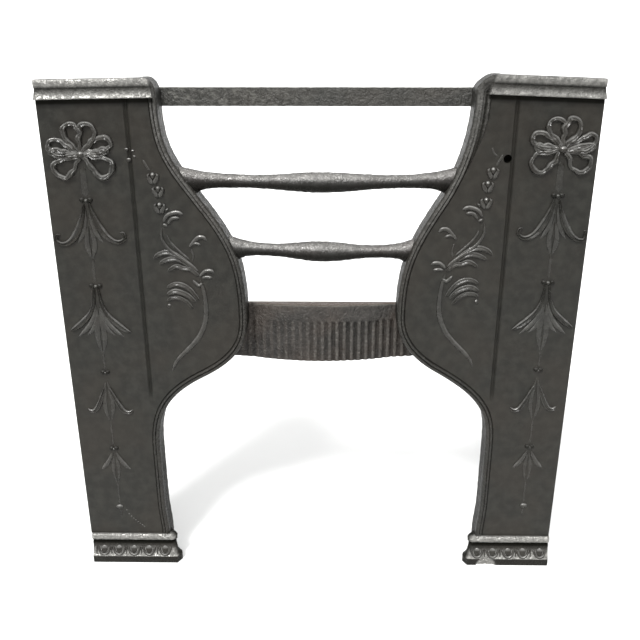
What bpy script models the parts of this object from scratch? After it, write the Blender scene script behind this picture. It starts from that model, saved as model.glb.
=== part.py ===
"""Front of a cast-iron hob grate: two ornamented plates, a top bar, two swelled bars and a reeded apron.

Metres, +Z up. While a piece is modelled, X is measured from the centre line of the fire opening, Y from
the face of the plates (back is +Y) and Z from the hearth. Every piece then takes the same place, which
puts the origin under the middle of the whole front.
"""

import bmesh
import bpy
import numpy as np
from math import cos, pi, radians, sin

for old in list(bpy.data.objects):
    bpy.data.objects.remove(old, do_unlink=True)

# Plates
PLATE_HEIGHT = 0.7235
PLATE_THICKNESS = 0.008
FLANGE_DEPTH = 0.028
FLANGE_THICKNESS = 0.006
SLAB_INSET = 0.002
SLAB_DROP = 0.004
SLAB_BOTTOM = 0.006
LEFT_OUTER_EDGE = 0.3595
RIGHT_OUTER_EDGE = 0.3505
RIGHT_PLATE_EXTRA_HEIGHT = 0.0045
LEG_EDGE = 0.240
LEG_EDGE_AT_FOOT = 0.2368
LEG_SPREAD_START = 0.110
KNEE_HEIGHT = 0.199
CORNER_HEIGHT = 0.020
FIT_GAP = 0.0003

# Rim of two beads along the inner edge
RIM_WIDTH = 0.0108
RIM_BEAD_HEIGHT = 0.0024
RIM_TAPER_HEIGHT = 0.030
RIGHT_RIM_WIDENING = 0.8
RIM_WIDENING_START = 0.60
RIM_WIDENING_LENGTH = 0.09

# Cornice along the top
CORNICE_HEIGHT = 0.0238
CORNICE_PROJECTION = 0.0088
CORNICE_BACK = 0.0015

# Foot moulding
FOOT_HEIGHT = 0.0486
FOOT_PROJECTION = 0.010
FOOT_LEAF_COUNT = 5
FOOT_LEAF_PITCH = 0.0242
FOOT_LEAF_HALF_WIDTH = 0.0078
FOOT_LEAF_TOP = 0.0248
FOOT_LEAF_LENGTH = 0.0120

# Reed between pilaster and cheek
REED_WIDTH = 0.0046
REED_HEIGHT = 0.0011
REED_END_HEIGHT = 0.284

# Carving
KNOT_HEIGHT = 0.629
RIBBON_WIDTH = 0.0056
RIBBON_RELIEF = 0.0032
LEAF_RELIEF = 0.0022
CARVING_SINK = 0.0012
PETAL_MARGIN = 0.0055
PETAL_WIDTH = 0.0088
INNER_LEAF_WIDTH = 0.0060
NODE_RADIUS = 0.0062
STEM_WIDTHS = (0.0042, 0.0030)
LAST_BUD_RADIUS = 0.0052
CHEEK_STEM_WIDTH = 0.0050
CHEEK_TAIL_WIDTH = 0.0078

# Fixing hole in the right plate and the plugged one in the left
HOLE_DIAMETER = 0.011
HOLE_HEIGHT = 0.6245
RIGHT_HOLE_REACH = 0.2365
PLUG_DIAMETER = 0.010
PLUG_RELIEF = 0.0013

# Flat top bar, lapped behind the flanges
TOP_BAR_HEIGHT = 0.0235
TOP_BAR_THICKNESS = 0.0095
TOP_BAR_DROP = 0.0137
TOP_BAR_LAP = 0.014
TOP_BAR_WORN_EDGE = 0.0008

# Swelled bars between the flanges
BAR_BOW = 0.0105
BAR_SIDES = 12
BAR_HALF_DEPTH_LIMIT = 0.0138
UPPER_BAR_LEVEL = 0.5957
UPPER_BAR_RADII = (0.0135, 0.0086, 0.0150)
UPPER_BAR_NECK = 0.094
LOWER_BAR_LEVEL = 0.5025
LOWER_BAR_RADII = (0.0140, 0.0090, 0.0150)
LOWER_BAR_NECK = 0.066

# Reeded apron behind the flanges
APRON_TOP = 0.4185
APRON_DEPTH_AT_ENDS = 0.0795
APRON_SAG = 0.006
APRON_BAND = 0.0235
APRON_THICKNESS = 0.007
APRON_LEDGE = 0.006
APRON_BOW = 0.010
APRON_BOW_REACH = 0.100
APRON_HALF_LENGTH = 0.146
FLUTE_PITCH = 0.0104
FLUTE_DEPTH = 0.0022
FLUTED_HALF_LENGTH = 0.130

# Chip off the right foot
CHIP_REACH = (0.238, 0.260)
CHIP_HEIGHT = 0.016
CHIP_DEPTH = 0.006

CURVE_STEPS = 9
DEPTH_SHIFT = -(FLANGE_DEPTH + FIT_GAP + TOP_BAR_THICKNESS - FOOT_PROJECTION) / 2
SIDE_SHIFT = (LEFT_OUTER_EDGE - RIGHT_OUTER_EDGE) / 2
PLACE = (SIDE_SHIFT, DEPTH_SHIFT, 0.0)

# The two plates come from mirrored but separately carved patterns. Reaches are distances from the
# centre line. A bend is (reach, height, curve length above, curve length below) beside its slope.
LEFT = {
    "side": -1,
    "outer": LEFT_OUTER_EDGE,
    "height": PLATE_HEIGHT,
    "top_rise": 0.0028,
    "top_edge": 0.2068,
    "corner_reach": 0.0145,
    "corner_roundness": 0.52,
    "axis": 0.309,
    "reed": 0.2465,
    "carving_lift": 0.0,
    "rim_widening": 0.0,
    "cornice_end": 0.211,
    "top_curve": 0.070,
    "shoulder": (0.1506, 0.5597, 0.079, 0.066),
    "bulge": (0.1040, 0.4050, 0.070, 0.037),
    "under": (0.1667, 0.3165, 0.053, 0.061),
    "knee_curve": 0.061,
}
RIGHT = {
    "side": 1,
    "outer": RIGHT_OUTER_EDGE,
    "height": PLATE_HEIGHT + RIGHT_PLATE_EXTRA_HEIGHT,
    "top_rise": 0.0055,
    "top_edge": 0.1904,
    "corner_reach": 0.026,
    "corner_roundness": 0.38,
    "axis": 0.305,
    "reed": 0.2432,
    "carving_lift": 0.0075,
    "rim_widening": RIGHT_RIM_WIDENING,
    "cornice_end": 0.2065,
    "top_curve": 0.063,
    "shoulder": (0.1503, 0.5641, 0.043, 0.069),
    "bulge": (0.1030, 0.4090, 0.066, 0.038),
    "under": (0.1601, 0.3250, 0.036, 0.089),
    "knee_curve": 0.053,
}

# Slope of the inner edge at each bend, in degrees from the level
LEFT["degrees"] = {"shoulder": 54.3, "bulge": 90.0, "under": 27.9}
RIGHT["degrees"] = {"shoulder": 58.3, "bulge": 90.0, "under": 30.5}

# Bow of ribbon: each loop's far end from the knot, across and up, and half its width
BOW_LOOPS = (
    (-0.012, 0.038, 0.0095),
    (0.014, 0.038, 0.0090),
    (0.039, 0.017, 0.0080),
    (0.035, 0.004, 0.0034),
    (0.036, -0.022, 0.0115),
    (-0.034, -0.024, 0.0110),
    (-0.038, 0.003, 0.0034),
    (-0.040, 0.014, 0.0080),
)

# Husk drops below the bow: height of the node, spread and fall of the side petals, lift of their tips,
# fall of the centre leaf
HUSKS = (
    (0.574, 0.047, 0.060, 0.016, 0.083),
    (0.458, 0.044, 0.072, 0.000, 0.106),
    (0.322, 0.034, 0.064, 0.010, 0.080),
    (0.202, 0.022, 0.040, 0.000, 0.060),
)
LAST_BUD_HEIGHT = 0.097
FAN_HUSK = 1

# Foliage of the cheek as arcs: start reach and height, end reach and height, bulge, width
CHEEK_ARCS = (
    (0.230, 0.623, 0.221, 0.607, -0.0015, 0.0038),
    (0.210, 0.540, 0.184, 0.551, 0.0085, 0.0046),
    (0.203, 0.540, 0.188, 0.546, 0.0040, 0.0034),
    (0.206, 0.524, 0.187, 0.497, -0.0030, 0.0032),
    (0.174, 0.511, 0.155, 0.517, 0.0070, 0.0044),
    (0.178, 0.506, 0.163, 0.510, 0.0035, 0.0034),
    (0.228, 0.490, 0.180, 0.486, 0.0110, 0.0052),
    (0.215, 0.485, 0.181, 0.482, 0.0065, 0.0046),
    (0.208, 0.474, 0.166, 0.468, 0.0085, 0.0048),
    (0.164, 0.468, 0.147, 0.472, 0.0040, 0.0040),
    (0.160, 0.464, 0.150, 0.465, 0.0014, 0.0034),
    (0.175, 0.461, 0.160, 0.458, -0.0050, 0.0036),
    (0.213, 0.449, 0.168, 0.431, 0.0140, 0.0048),
    (0.211, 0.439, 0.173, 0.433, 0.0080, 0.0052),
    (0.213, 0.430, 0.178, 0.420, 0.0095, 0.0036),
)
CHEEK_STEM = ((0.211, 0.537), (0.217, 0.508), (0.196, 0.494), (0.165, 0.470))
CHEEK_TAIL = ((0.163, 0.436), (0.155, 0.390), (0.175, 0.370), (0.213, 0.325))
CHEEK_BUDS = ((0.219, 0.600), (0.213, 0.582), (0.213, 0.560))
BUD_RADIUS = 0.0052


def bezier(a, b, c, d, steps):
    """Points of the cubic curve from a to d, with handles b and c."""
    t = np.linspace(0.0, 1.0, steps + 1)[:, None]
    a, b, c, d = (np.array(p, float) for p in (a, b, c, d))
    return (1 - t) ** 3 * a + 3 * (1 - t) ** 2 * t * b + 3 * (1 - t) * t**2 * c + t**3 * d


def arc(start, end, bulge, steps):
    """Parabolic arc that leaves the straight line by bulge at its middle, upwards if bulge is positive."""
    start, end = np.array(start, float), np.array(end, float)
    t = np.linspace(0.0, 1.0, steps + 1)[:, None]
    along = end - start
    across = np.array([-along[1], along[0]]) / np.hypot(*along)
    if across[1] < 0:
        across = -across
    return start + along * t + across * bulge * 4 * t * (1 - t)


def inner_edge(plate):
    """The inner edge from the top of the plate to the hearth, as (reach, height), heights falling."""
    top_z = plate["height"] - CORNER_HEIGHT
    heading = {"top": np.array((0.0, -1.0))}
    for bend, turn in (("shoulder", -1), ("bulge", -1), ("under", 1)):
        slope = radians(plate["degrees"][bend])
        heading[bend] = np.array((turn * cos(slope), -sin(slope)))
    at = {bend: np.array(plate[bend][:2]) for bend in ("shoulder", "bulge", "under")}
    top = np.array((plate["top_edge"], top_z))
    knee = np.array((LEG_EDGE, KNEE_HEIGHT))
    arrive = {bend: heading[bend] * plate[bend][2] for bend in at}
    leave = {bend: heading[bend] * plate[bend][3] for bend in at}
    runs = (
        (top, heading["top"] * plate["top_curve"], at["shoulder"], arrive["shoulder"]),
        (at["shoulder"], leave["shoulder"], at["bulge"], arrive["bulge"]),
        (at["bulge"], leave["bulge"], at["under"], arrive["under"]),
        (at["under"], leave["under"], knee, heading["top"] * plate["knee_curve"]),
    )
    turn = plate["corner_roundness"]
    reach = plate["corner_reach"]
    start = top + np.array((reach, CORNER_HEIGHT))
    corner = bezier(start, start - (reach * turn, 0), top + (0, CORNER_HEIGHT * turn), top, 5)
    pieces = [corner]
    for a, out, b, back in runs:
        pieces.append(bezier(a, a + out, b - back, b, CURVE_STEPS)[1:])
    leg = bezier(
        (LEG_EDGE, LEG_SPREAD_START), (LEG_EDGE, 0.08), (LEG_EDGE_AT_FOOT, 0.07),
        (LEG_EDGE_AT_FOOT, FOOT_HEIGHT), 3)
    pieces.append(leg)
    pieces.append(np.array([(LEG_EDGE_AT_FOOT, 0.004)]))
    return np.vstack(pieces)


def edge_reach(plate, height):
    """How far the inner edge stands from the centre line at a height."""
    line = inner_edge(plate)[::-1]
    return float(np.interp(height, line[:, 1], line[:, 0]))


def inward_normals(line):
    """Unit normals of a line of (reach, height) points, pointing into the plate."""
    along = np.gradient(line, axis=0)
    along /= np.linalg.norm(along, axis=1)[:, None]
    return np.column_stack((-along[:, 1], along[:, 0]))


def iron(name, colour, roughness):
    material = bpy.data.materials.new(name)
    material.use_nodes = True
    shader = material.node_tree.nodes["Principled BSDF"]
    shader.inputs["Base Color"].default_value = (*colour, 1.0)
    shader.inputs["Roughness"].default_value = roughness
    shader.inputs["Metallic"].default_value = 0.55
    return material


def loft(name, rings, level_strips=False):
    """Closed solid through rings of points. An end that follows a curved edge is filled in level strips."""
    count = len(rings[0])
    form = bmesh.new()
    verts = [[form.verts.new(point) for point in ring] for ring in rings]
    for near, far in zip(verts, verts[1:]):
        for i in range(count):
            j = (i + 1) % count
            form.faces.new((near[i], near[j], far[j], far[i]))
    for end in (verts[0], verts[-1]):
        if not level_strips:
            form.faces.new(end)
            continue
        across = [(end[(count // 4 - 1 - k) % count], end[count // 4 + k]) for k in range(count // 2)]
        for (a, b), (c, d) in zip(across, across[1:]):
            form.faces.new((a, b, d, c))
    bmesh.ops.recalc_face_normals(form, faces=form.faces)
    mesh = bpy.data.meshes.new(name)
    form.to_mesh(mesh)
    form.free()
    made = bpy.data.objects.new(name, mesh)
    made.location = PLACE
    bpy.context.scene.collection.objects.link(made)
    return made


def helper(made):
    """Marks a solid as a helper, which only feeds a Boolean."""
    made.hide_render = True
    made.display_type = "WIRE"
    return made


def join(target, pieces, name):
    """Unites the helper solids with the target."""
    group = bpy.data.collections.new(name)
    bpy.context.scene.collection.children.link(group)
    for piece in pieces:
        bpy.context.scene.collection.objects.unlink(piece)
        group.objects.link(helper(piece))
    union = target.modifiers.new(name, "BOOLEAN")
    union.operation = "UNION"
    union.solver = "EXACT"
    union.operand_type = "COLLECTION"
    union.collection = group


def cut(target, cutter):
    difference = target.modifiers.new(cutter.name, "BOOLEAN")
    difference.operation = "DIFFERENCE"
    difference.solver = "EXACT"
    difference.object = helper(cutter)


def ridge(plate, name, path, widths, relief):
    """A ridge with a peaked section along a path of (reach, height), sunk a little into the plate."""
    across = inward_normals(path)
    rings = []
    for point, side, width in zip(path, across, np.broadcast_to(widths, len(path))):
        crest = relief * min(1.0, width / max(widths) + 0.25)
        left = point - side * width / 2
        right = point + side * width / 2
        rings.append([
            (plate["side"] * left[0], CARVING_SINK, left[1]),
            (plate["side"] * point[0], -crest, point[1]),
            (plate["side"] * right[0], CARVING_SINK, right[1]),
        ])
    return loft(name, rings)


def tapered(steps, width, start=0.35, end=0.35):
    """Widths along a leaf, fullest a third of the way."""
    t = np.linspace(0.0, 1.0, steps + 1)
    swell = np.sin(pi * t**0.75)
    ends = start * (1 - t) + end * t
    return width * (ends + (1 - ends) * swell)


def dome(plate, name, reach, height, radius, relief, sides=6):
    """Low boss with a narrower top, sunk a little into the plate."""
    rings = []
    for share, y in ((1.0, CARVING_SINK), (0.85, -relief * 0.55), (0.42, -relief)):
        ring = []
        for i in range(sides):
            turn = 2 * pi * (i + 0.5) / sides
            ring.append((
                plate["side"] * (reach + radius * share * cos(turn)), y,
                height + radius * share * sin(turn)))
        rings.append(ring)
    return loft(name, rings)


def make_slab(plate, name):
    """The flat plate, kept just inside the rim, the cornice and the foot that cover its edges."""
    line = inner_edge(plate)
    inner = (line + inward_normals(line) * SLAB_INSET)[4:-1]
    end = plate["outer"]
    rise = plate["top_rise"]
    top = plate["height"] - SLAB_DROP
    outline = [(end, SLAB_BOTTOM), (end, top - rise), (plate["cornice_end"], top)]
    outline += [tuple(point) for point in inner] + [(LEG_EDGE_AT_FOOT + SLAB_INSET, SLAB_BOTTOM)]
    faces = []
    for y in (0.0, PLATE_THICKNESS):
        faces.append([(plate["side"] * x, y, z) for x, z in outline])
    return loft(name, faces)


def make_rim(plate, name):
    """Two beads on the face and the flange behind them, carried along the inner edge."""
    section = (
        (0.00, 0.0), (0.14, -0.88), (0.36, -0.94), (0.51, -0.02), (0.63, -0.75), (0.84, -0.75), (1.00, 0.0),
    )
    line = inner_edge(plate)
    rings = []
    for point, inward in zip(line, inward_normals(line)):
        lift = np.clip((point[1] - RIM_WIDENING_START) / RIM_WIDENING_LENGTH, 0.0, 1.0)
        near_top = np.clip(1 + (point[1] - plate["height"]) / RIM_TAPER_HEIGHT, 0.0, 1.0)
        width = RIM_WIDTH * (1.0 + plate["rim_widening"] * lift) * (1.0 - 0.6 * near_top)
        flange = min(FLANGE_THICKNESS, width * 0.8)
        ring = []
        for share, height in section:
            at = point + inward * width * share
            ring.append((plate["side"] * at[0], height * RIM_BEAD_HEIGHT, at[1]))
        for share, y in ((width, CARVING_SINK), (flange, CARVING_SINK), (flange, FLANGE_DEPTH), (0.0, FLANGE_DEPTH)):
            at = point + inward * share
            ring.append((plate["side"] * at[0], y, at[1]))
        rings.append(ring)
    return loft(name, rings)


def make_cornice(plate, name):
    """Torus, cove and fillet along the top, rising a little towards the fire."""
    section = (
        (0.00, 0.55), (0.06, 0.80), (0.17, 0.96), (0.28, 0.80), (0.34, 0.48), (0.44, 0.36),
        (0.58, 0.42), (0.65, 0.68), (0.67, 1.00), (0.96, 1.00), (1.00, 0.92), (1.00, -0.30),
    )
    rings = []
    for reach, top in (
        (plate["outer"] - 0.0005, plate["height"] - plate["top_rise"]),
        (plate["cornice_end"], plate["height"]),
    ):
        ring = []
        for drop, out in section:
            ring.append((plate["side"] * reach, -CORNICE_PROJECTION * out, top - CORNICE_HEIGHT * drop))
        back = PLATE_THICKNESS + CORNICE_BACK
        ring.append((plate["side"] * reach, back, top - CORNICE_HEIGHT))
        ring.append((plate["side"] * reach, back, top))
        rings.append(ring)
    return loft(name, rings)


def make_foot(plate, name):
    """Plinth, leaf band, cove and bead, across the face and back along the inner side."""
    section = (
        (0.00, 0.94), (0.02, 1.00), (0.20, 1.00), (0.23, 0.74), (0.30, 0.80), (0.42, 0.80), (0.50, 0.68),
        (0.57, 0.46), (0.66, 0.34), (0.78, 0.30), (0.81, 0.18), (0.84, 0.42), (0.91, 0.54), (0.98, 0.38),
        (1.00, 0.10),
    )
    inner = LEG_EDGE_AT_FOOT
    rings = []
    for level, out in section:
        reach = FOOT_PROJECTION * out
        plan = (
            (plate["outer"] - 0.0005, -reach), (inner - reach, -reach), (inner - reach, FLANGE_DEPTH + 0.0001),
            (inner + FLANGE_THICKNESS, FLANGE_DEPTH + 0.0001), (inner + FLANGE_THICKNESS, PLATE_THICKNESS + 0.001),
            (plate["outer"] - 0.0005, PLATE_THICKNESS + 0.001),
        )
        rings.append([(plate["side"] * x, y, level * FOOT_HEIGHT) for x, y in plan])
    return loft(name, rings)


def foot_leaves(plate):
    """A row of rounded tongues on the leaf band of the foot."""
    first = plate["outer"] - 0.5 * (plate["outer"] - LEG_EDGE_AT_FOOT + FOOT_PROJECTION)
    made = []
    for i in range(FOOT_LEAF_COUNT):
        reach = first + (i - (FOOT_LEAF_COUNT - 1) / 2) * FOOT_LEAF_PITCH
        rings = []
        for share, out in ((1.0, 0.60), (0.86, 0.92), (0.45, 1.00)):
            ring = []
            for corner in range(5):
                turn = pi * corner / 4
                ring.append((
                    plate["side"] * (reach + FOOT_LEAF_HALF_WIDTH * share * cos(turn)), -FOOT_PROJECTION * out,
                    FOOT_LEAF_TOP - FOOT_LEAF_LENGTH * share * sin(turn)))
            rings.append(ring)
        made.append(loft(f"{plate_name(plate)}_leaf_{i}", rings))
    return made


def plate_name(plate):
    return "left" if plate["side"] < 0 else "right"


def carve_bow(plate):
    """Looped ribbon and its knot. A loop runs out to its far end and back, pointed at the knot."""
    name = plate_name(plate)
    knot = np.array((plate["axis"], KNOT_HEIGHT + plate["carving_lift"]))
    made = [dome(plate, f"{name}_knot", *knot, NODE_RADIUS, RIBBON_RELIEF * 1.3)]
    for i, (across, up, half_width) in enumerate(BOW_LOOPS):
        along = np.array((-across, up))
        length = np.hypot(*along)
        along /= length
        aside = np.array((-along[1], along[0]))
        turn = np.linspace(0.0, 2 * pi, 11)
        out = length * (1 - np.cos(turn)) / 2
        apart = half_width * 1.54 * np.sin(turn) * (1 - np.cos(turn)) / 2
        path = knot + out[:, None] * along + apart[:, None] * aside
        flat = half_width < RIBBON_WIDTH
        path = path[1:-1] if not flat else path[1:6]
        widths = np.full(len(path), RIBBON_WIDTH * (1.25 if flat else 1.0))
        made.append(ridge(plate, f"{name}_loop_{i}", path, widths, RIBBON_RELIEF))
    return made


def carve_husks(plate):
    """Husk drops on the pilaster: a node, side petals, inner leaves and a pointed centre leaf."""
    name = plate_name(plate)
    axis, lift = plate["axis"], plate["carving_lift"]
    made = []
    above = KNOT_HEIGHT - 0.010
    for i, (node, spread, fall, tip_lift, centre_fall) in enumerate(HUSKS):
        node_z = node + lift
        stem = np.array([(axis, above + lift), (axis, node_z + 0.002)])
        made.append(ridge(plate, f"{name}_stem_{i}", stem, np.array(STEM_WIDTHS), LEAF_RELIEF * 0.5))
        made.append(dome(plate, f"{name}_node_{i}", axis, node_z, NODE_RADIUS, RIBBON_RELIEF))
        low = node_z - fall
        waist = node_z - 0.4 * fall if i == FAN_HUSK else node_z - 0.2 * fall
        for turn in (-1, 1):
            reach = min(spread, plate["outer"] - axis - PETAL_MARGIN) if turn < 0 else spread
            petal = bezier(
                (axis - turn * 0.003, node_z - 0.004), (axis - turn * 0.007, waist),
                (axis - turn * reach * 0.55, low), (axis - turn * reach, low + tip_lift), 6)
            made.append(ridge(plate, f"{name}_petal_{i}_{turn}", petal, tapered(6, PETAL_WIDTH), LEAF_RELIEF))
            leaf = bezier(
                (axis - turn * 0.003, node_z - 0.012), (axis - turn * 0.005, waist),
                (axis - turn * spread * 0.30, low + 0.004), (axis - turn * spread * 0.62, low - 0.004), 4)
            widths = tapered(4, INNER_LEAF_WIDTH)
            made.append(ridge(plate, f"{name}_inner_{i}_{turn}", leaf, widths, LEAF_RELIEF * 0.7))
        centre = np.array([(axis, node_z - t * centre_fall) for t in (0.05, 0.35, 0.7, 1.0)])
        widths = np.array((0.0050, 0.0080, 0.0130, 0.0015)) * (0.6 + spread * 9)
        made.append(ridge(plate, f"{name}_centre_{i}", centre, widths, LEAF_RELIEF * 0.8))
        above = node - centre_fall + 0.004
    bud = LAST_BUD_HEIGHT + lift
    stem = np.array([(axis, above + lift), (axis, bud + 0.002)])
    made.append(ridge(plate, f"{name}_stem_end", stem, np.array(STEM_WIDTHS) * 0.8, LEAF_RELIEF * 0.5))
    made.append(dome(plate, f"{name}_last_bud", axis, bud, LAST_BUD_RADIUS, LEAF_RELIEF))
    return made


def carve_cheek(plate):
    """Foliage beside the fire: buds, curling leaves, their stem and the long tail."""
    name = plate_name(plate)
    lift = np.array((0.0, plate["carving_lift"]))
    made = []
    for i, (x0, z0, x1, z1, bulge, width) in enumerate(CHEEK_ARCS):
        path = arc((x0, z0) + lift, (x1, z1) + lift, bulge, 4)
        made.append(ridge(plate, f"{name}_leaf_arc_{i}", path, tapered(4, width), LEAF_RELIEF))
    stem = bezier(*CHEEK_STEM, 6) + lift
    made.append(ridge(plate, f"{name}_cheek_stem", stem, tapered(6, CHEEK_STEM_WIDTH, 0.6, 0.9), LEAF_RELIEF))
    tail = bezier(*CHEEK_TAIL, 9) + lift
    made.append(ridge(plate, f"{name}_cheek_tail", tail, tapered(9, CHEEK_TAIL_WIDTH, 0.6, 0.2), LEAF_RELIEF))
    for i, (reach, height) in enumerate(CHEEK_BUDS):
        made.append(dome(plate, f"{name}_bud_{i}", reach, height + lift[1], BUD_RADIUS, RIBBON_RELIEF))
    return made


def make_plate(plate, material):
    name = plate_name(plate)
    body = make_slab(plate, f"{name}_plate")
    body.data.materials.append(material)
    made = [make_rim(plate, f"{name}_rim"), make_cornice(plate, f"{name}_cornice"), make_foot(plate, f"{name}_foot")]
    top = plate["height"] - 0.012
    reed = np.array([(plate["reed"], top), (plate["reed"], REED_END_HEIGHT)])
    made.append(ridge(plate, f"{name}_reed", reed, np.full(2, REED_WIDTH), REED_HEIGHT))
    made += foot_leaves(plate) + carve_bow(plate) + carve_husks(plate) + carve_cheek(plate)
    if plate is LEFT:
        made.append(dome(plate, "left_plug", plate["reed"], HOLE_HEIGHT + 0.003, PLUG_DIAMETER / 2, PLUG_RELIEF))
    join(body, made, f"{name}_carving")
    if plate is RIGHT:
        cut(body, hole_cutter())
        cut(body, chip_cutter())
    return body


def hole_cutter():
    rings = []
    for y in (-0.01, PLATE_THICKNESS + 0.01):
        ring = []
        for i in range(16):
            turn = 2 * pi * i / 16
            radius = HOLE_DIAMETER / 2
            ring.append((RIGHT_HOLE_REACH + radius * cos(turn), y, HOLE_HEIGHT + radius * sin(turn)))
        rings.append(ring)
    return loft("fixing_hole", rings)


def chip_cutter():
    """Wedge that takes the lower front edge off the right foot."""
    rings = []
    for reach, depth, height in (
        (CHIP_REACH[0], 0.25, 0.35), (CHIP_REACH[0] + 0.005, 0.9, 1.0),
        (CHIP_REACH[1] - 0.009, 1.0, 0.8), (CHIP_REACH[1], 0.2, 0.2),
    ):
        front = -FOOT_PROJECTION - 0.003
        rings.append([
            (reach, front, -0.004), (reach, -FOOT_PROJECTION + CHIP_DEPTH * depth, -0.004),
            (reach, front, CHIP_HEIGHT * height)])
    return loft("foot_chip", rings)


def make_top_bar(material):
    ends = [plate["top_edge"] + TOP_BAR_LAP for plate in (LEFT, RIGHT)]
    top = PLATE_HEIGHT - TOP_BAR_DROP
    front = FLANGE_DEPTH + FIT_GAP
    rings = []
    for x in (-ends[0], ends[1]):
        rings.append([
            (x, front, top - TOP_BAR_HEIGHT), (x, front, top),
            (x, front + TOP_BAR_THICKNESS, top), (x, front + TOP_BAR_THICKNESS, top - TOP_BAR_HEIGHT)])
    bar = loft("top_bar", rings)
    bar.data.materials.append(material)
    bevel = bar.modifiers.new("worn_edges", "BEVEL")
    bevel.width = TOP_BAR_WORN_EDGE
    bevel.segments = 1
    return bar


def make_swelled_bar(name, level, radii, neck, material):
    """Bar with a swollen middle, two necks and flared ends that meet the sloping flanges."""
    middle, thin, end = radii
    reaches = [edge_reach(plate, level) for plate in (LEFT, RIGHT)]
    stations = np.sin(np.linspace(-1.0, 1.0, 23) * pi / 2)
    rings = []
    for s in stations:
        reach = reaches[0] if s < 0 else reaches[1]
        x = s * reach
        if abs(x) < neck:
            radius = thin + (middle - thin) * cos(pi / 2 * abs(x) / neck) ** 2
        else:
            radius = thin + (end - thin) * ((abs(x) - neck) / (reach - neck)) ** 2.2
        centre_y = FLANGE_DEPTH / 2 - BAR_BOW * (1 - s * s)
        ring = []
        for i in range(BAR_SIDES):
            turn = 2 * pi * (i + 0.5) / BAR_SIDES
            z = level + radius * sin(turn)
            plate = LEFT if s < 0 else RIGHT
            shear = (edge_reach(plate, z) - reach) * abs(s) ** 6
            gap = 2 * FIT_GAP * abs(s) ** 6
            ring.append((
                x + np.sign(s) * (shear - gap), centre_y + min(radius, BAR_HALF_DEPTH_LIMIT) * cos(turn), z))
        rings.append(ring)
    bar = loft(name, rings, level_strips=True)
    bar.data.materials.append(material)
    bar.data.shade_smooth()
    bar.data.set_sharp_from_angle(angle=radians(50))
    return bar


def make_apron(material):
    """Bowed sheet with upright flutes below a plain band, and a straight-backed ledge on top."""
    flutes = int(FLUTED_HALF_LENGTH // FLUTE_PITCH)
    fluted = flutes * FLUTE_PITCH
    xs = [-APRON_HALF_LENGTH]
    for i in range(-flutes, flutes):
        xs += [(i + share) * FLUTE_PITCH for share in (0.0, 0.3, 0.7)]
    xs += [fluted, APRON_HALF_LENGTH]
    back = FLANGE_DEPTH + FIT_GAP + APRON_THICKNESS
    rings = []
    for k, x in enumerate(xs):
        bow = APRON_BOW * max(0.0, 1 - (x / APRON_BOW_REACH) ** 2)
        front = FLANGE_DEPTH + FIT_GAP - bow
        in_valley = (k - 1) % 3 == 0 or abs(x) >= fluted
        fluted_front = front + (FLUTE_DEPTH if in_valley else 0.0)
        share = (x / APRON_HALF_LENGTH) ** 2
        bottom = APRON_TOP - APRON_DEPTH_AT_ENDS - APRON_SAG * (1 - share)
        band = APRON_TOP - APRON_BAND
        under = APRON_TOP - APRON_LEDGE
        rings.append([
            (x, fluted_front, bottom), (x, fluted_front, band - 0.0012), (x, front - 0.0002, band),
            (x, front, APRON_TOP), (x, back, APRON_TOP), (x, back, under),
            (x, front + APRON_THICKNESS, under - 0.0015), (x, front + APRON_THICKNESS, bottom)])
    apron = loft("apron", rings)
    apron.data.materials.append(material)
    return apron


plate_iron = iron("black_leaded_plate", (0.075, 0.071, 0.064), 0.42)
bar_iron = iron("polished_bar", (0.20, 0.20, 0.19), 0.38)
apron_iron = iron("rough_apron", (0.082, 0.078, 0.071), 0.52)
make_plate(LEFT, plate_iron)
make_plate(RIGHT, plate_iron)
make_top_bar(apron_iron)
make_swelled_bar("upper_bar", UPPER_BAR_LEVEL, UPPER_BAR_RADII, UPPER_BAR_NECK, bar_iron)
make_swelled_bar("lower_bar", LOWER_BAR_LEVEL, LOWER_BAR_RADII, LOWER_BAR_NECK, bar_iron)
make_apron(apron_iron)
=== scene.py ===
import bpy
import numpy as np
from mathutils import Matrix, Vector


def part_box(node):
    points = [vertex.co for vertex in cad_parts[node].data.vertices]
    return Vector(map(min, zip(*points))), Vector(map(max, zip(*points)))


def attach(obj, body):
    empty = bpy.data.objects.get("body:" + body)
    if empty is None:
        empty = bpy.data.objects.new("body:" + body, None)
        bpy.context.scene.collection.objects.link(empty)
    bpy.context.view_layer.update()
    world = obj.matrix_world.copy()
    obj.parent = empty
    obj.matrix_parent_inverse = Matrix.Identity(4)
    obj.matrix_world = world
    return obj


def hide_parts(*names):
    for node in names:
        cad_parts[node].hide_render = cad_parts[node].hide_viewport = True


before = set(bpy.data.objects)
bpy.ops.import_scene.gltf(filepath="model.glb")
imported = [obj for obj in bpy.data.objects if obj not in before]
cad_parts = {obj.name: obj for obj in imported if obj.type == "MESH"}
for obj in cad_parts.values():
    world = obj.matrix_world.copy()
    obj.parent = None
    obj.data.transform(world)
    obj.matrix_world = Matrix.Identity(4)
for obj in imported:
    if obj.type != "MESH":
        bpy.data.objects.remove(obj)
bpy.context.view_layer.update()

# The two side plates.
# Each is one black-leaded iron casting about 8 mm thick, with a cornice, a moulded foot and a flange
# along the edge to the fire. The right one has a fixing hole drilled nearly through, its floor painted
# black as shade, and a chip off the front of its foot.
LEFT_OUTER_EDGE = 0.3595
RIGHT_OUTER_EDGE = 0.3505
PLATE_THICKNESS = 0.008
FLANGE_DEPTH = 0.028
FLANGE_THICKNESS = 0.006
CORNER_HEIGHT = 0.02
LEG_EDGE = 0.24
LEG_EDGE_AT_FOOT = 0.2368
LEG_SPREAD_START = 0.11
KNEE_HEIGHT = 0.199
FOOT_HEIGHT = 0.0486
FOOT_BEAD_LOW = 0.0372
FOOT_PROJECTION = 0.01
CORNICE_HEIGHT = 0.024
RIM_WIDTH = 0.0108
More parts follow.
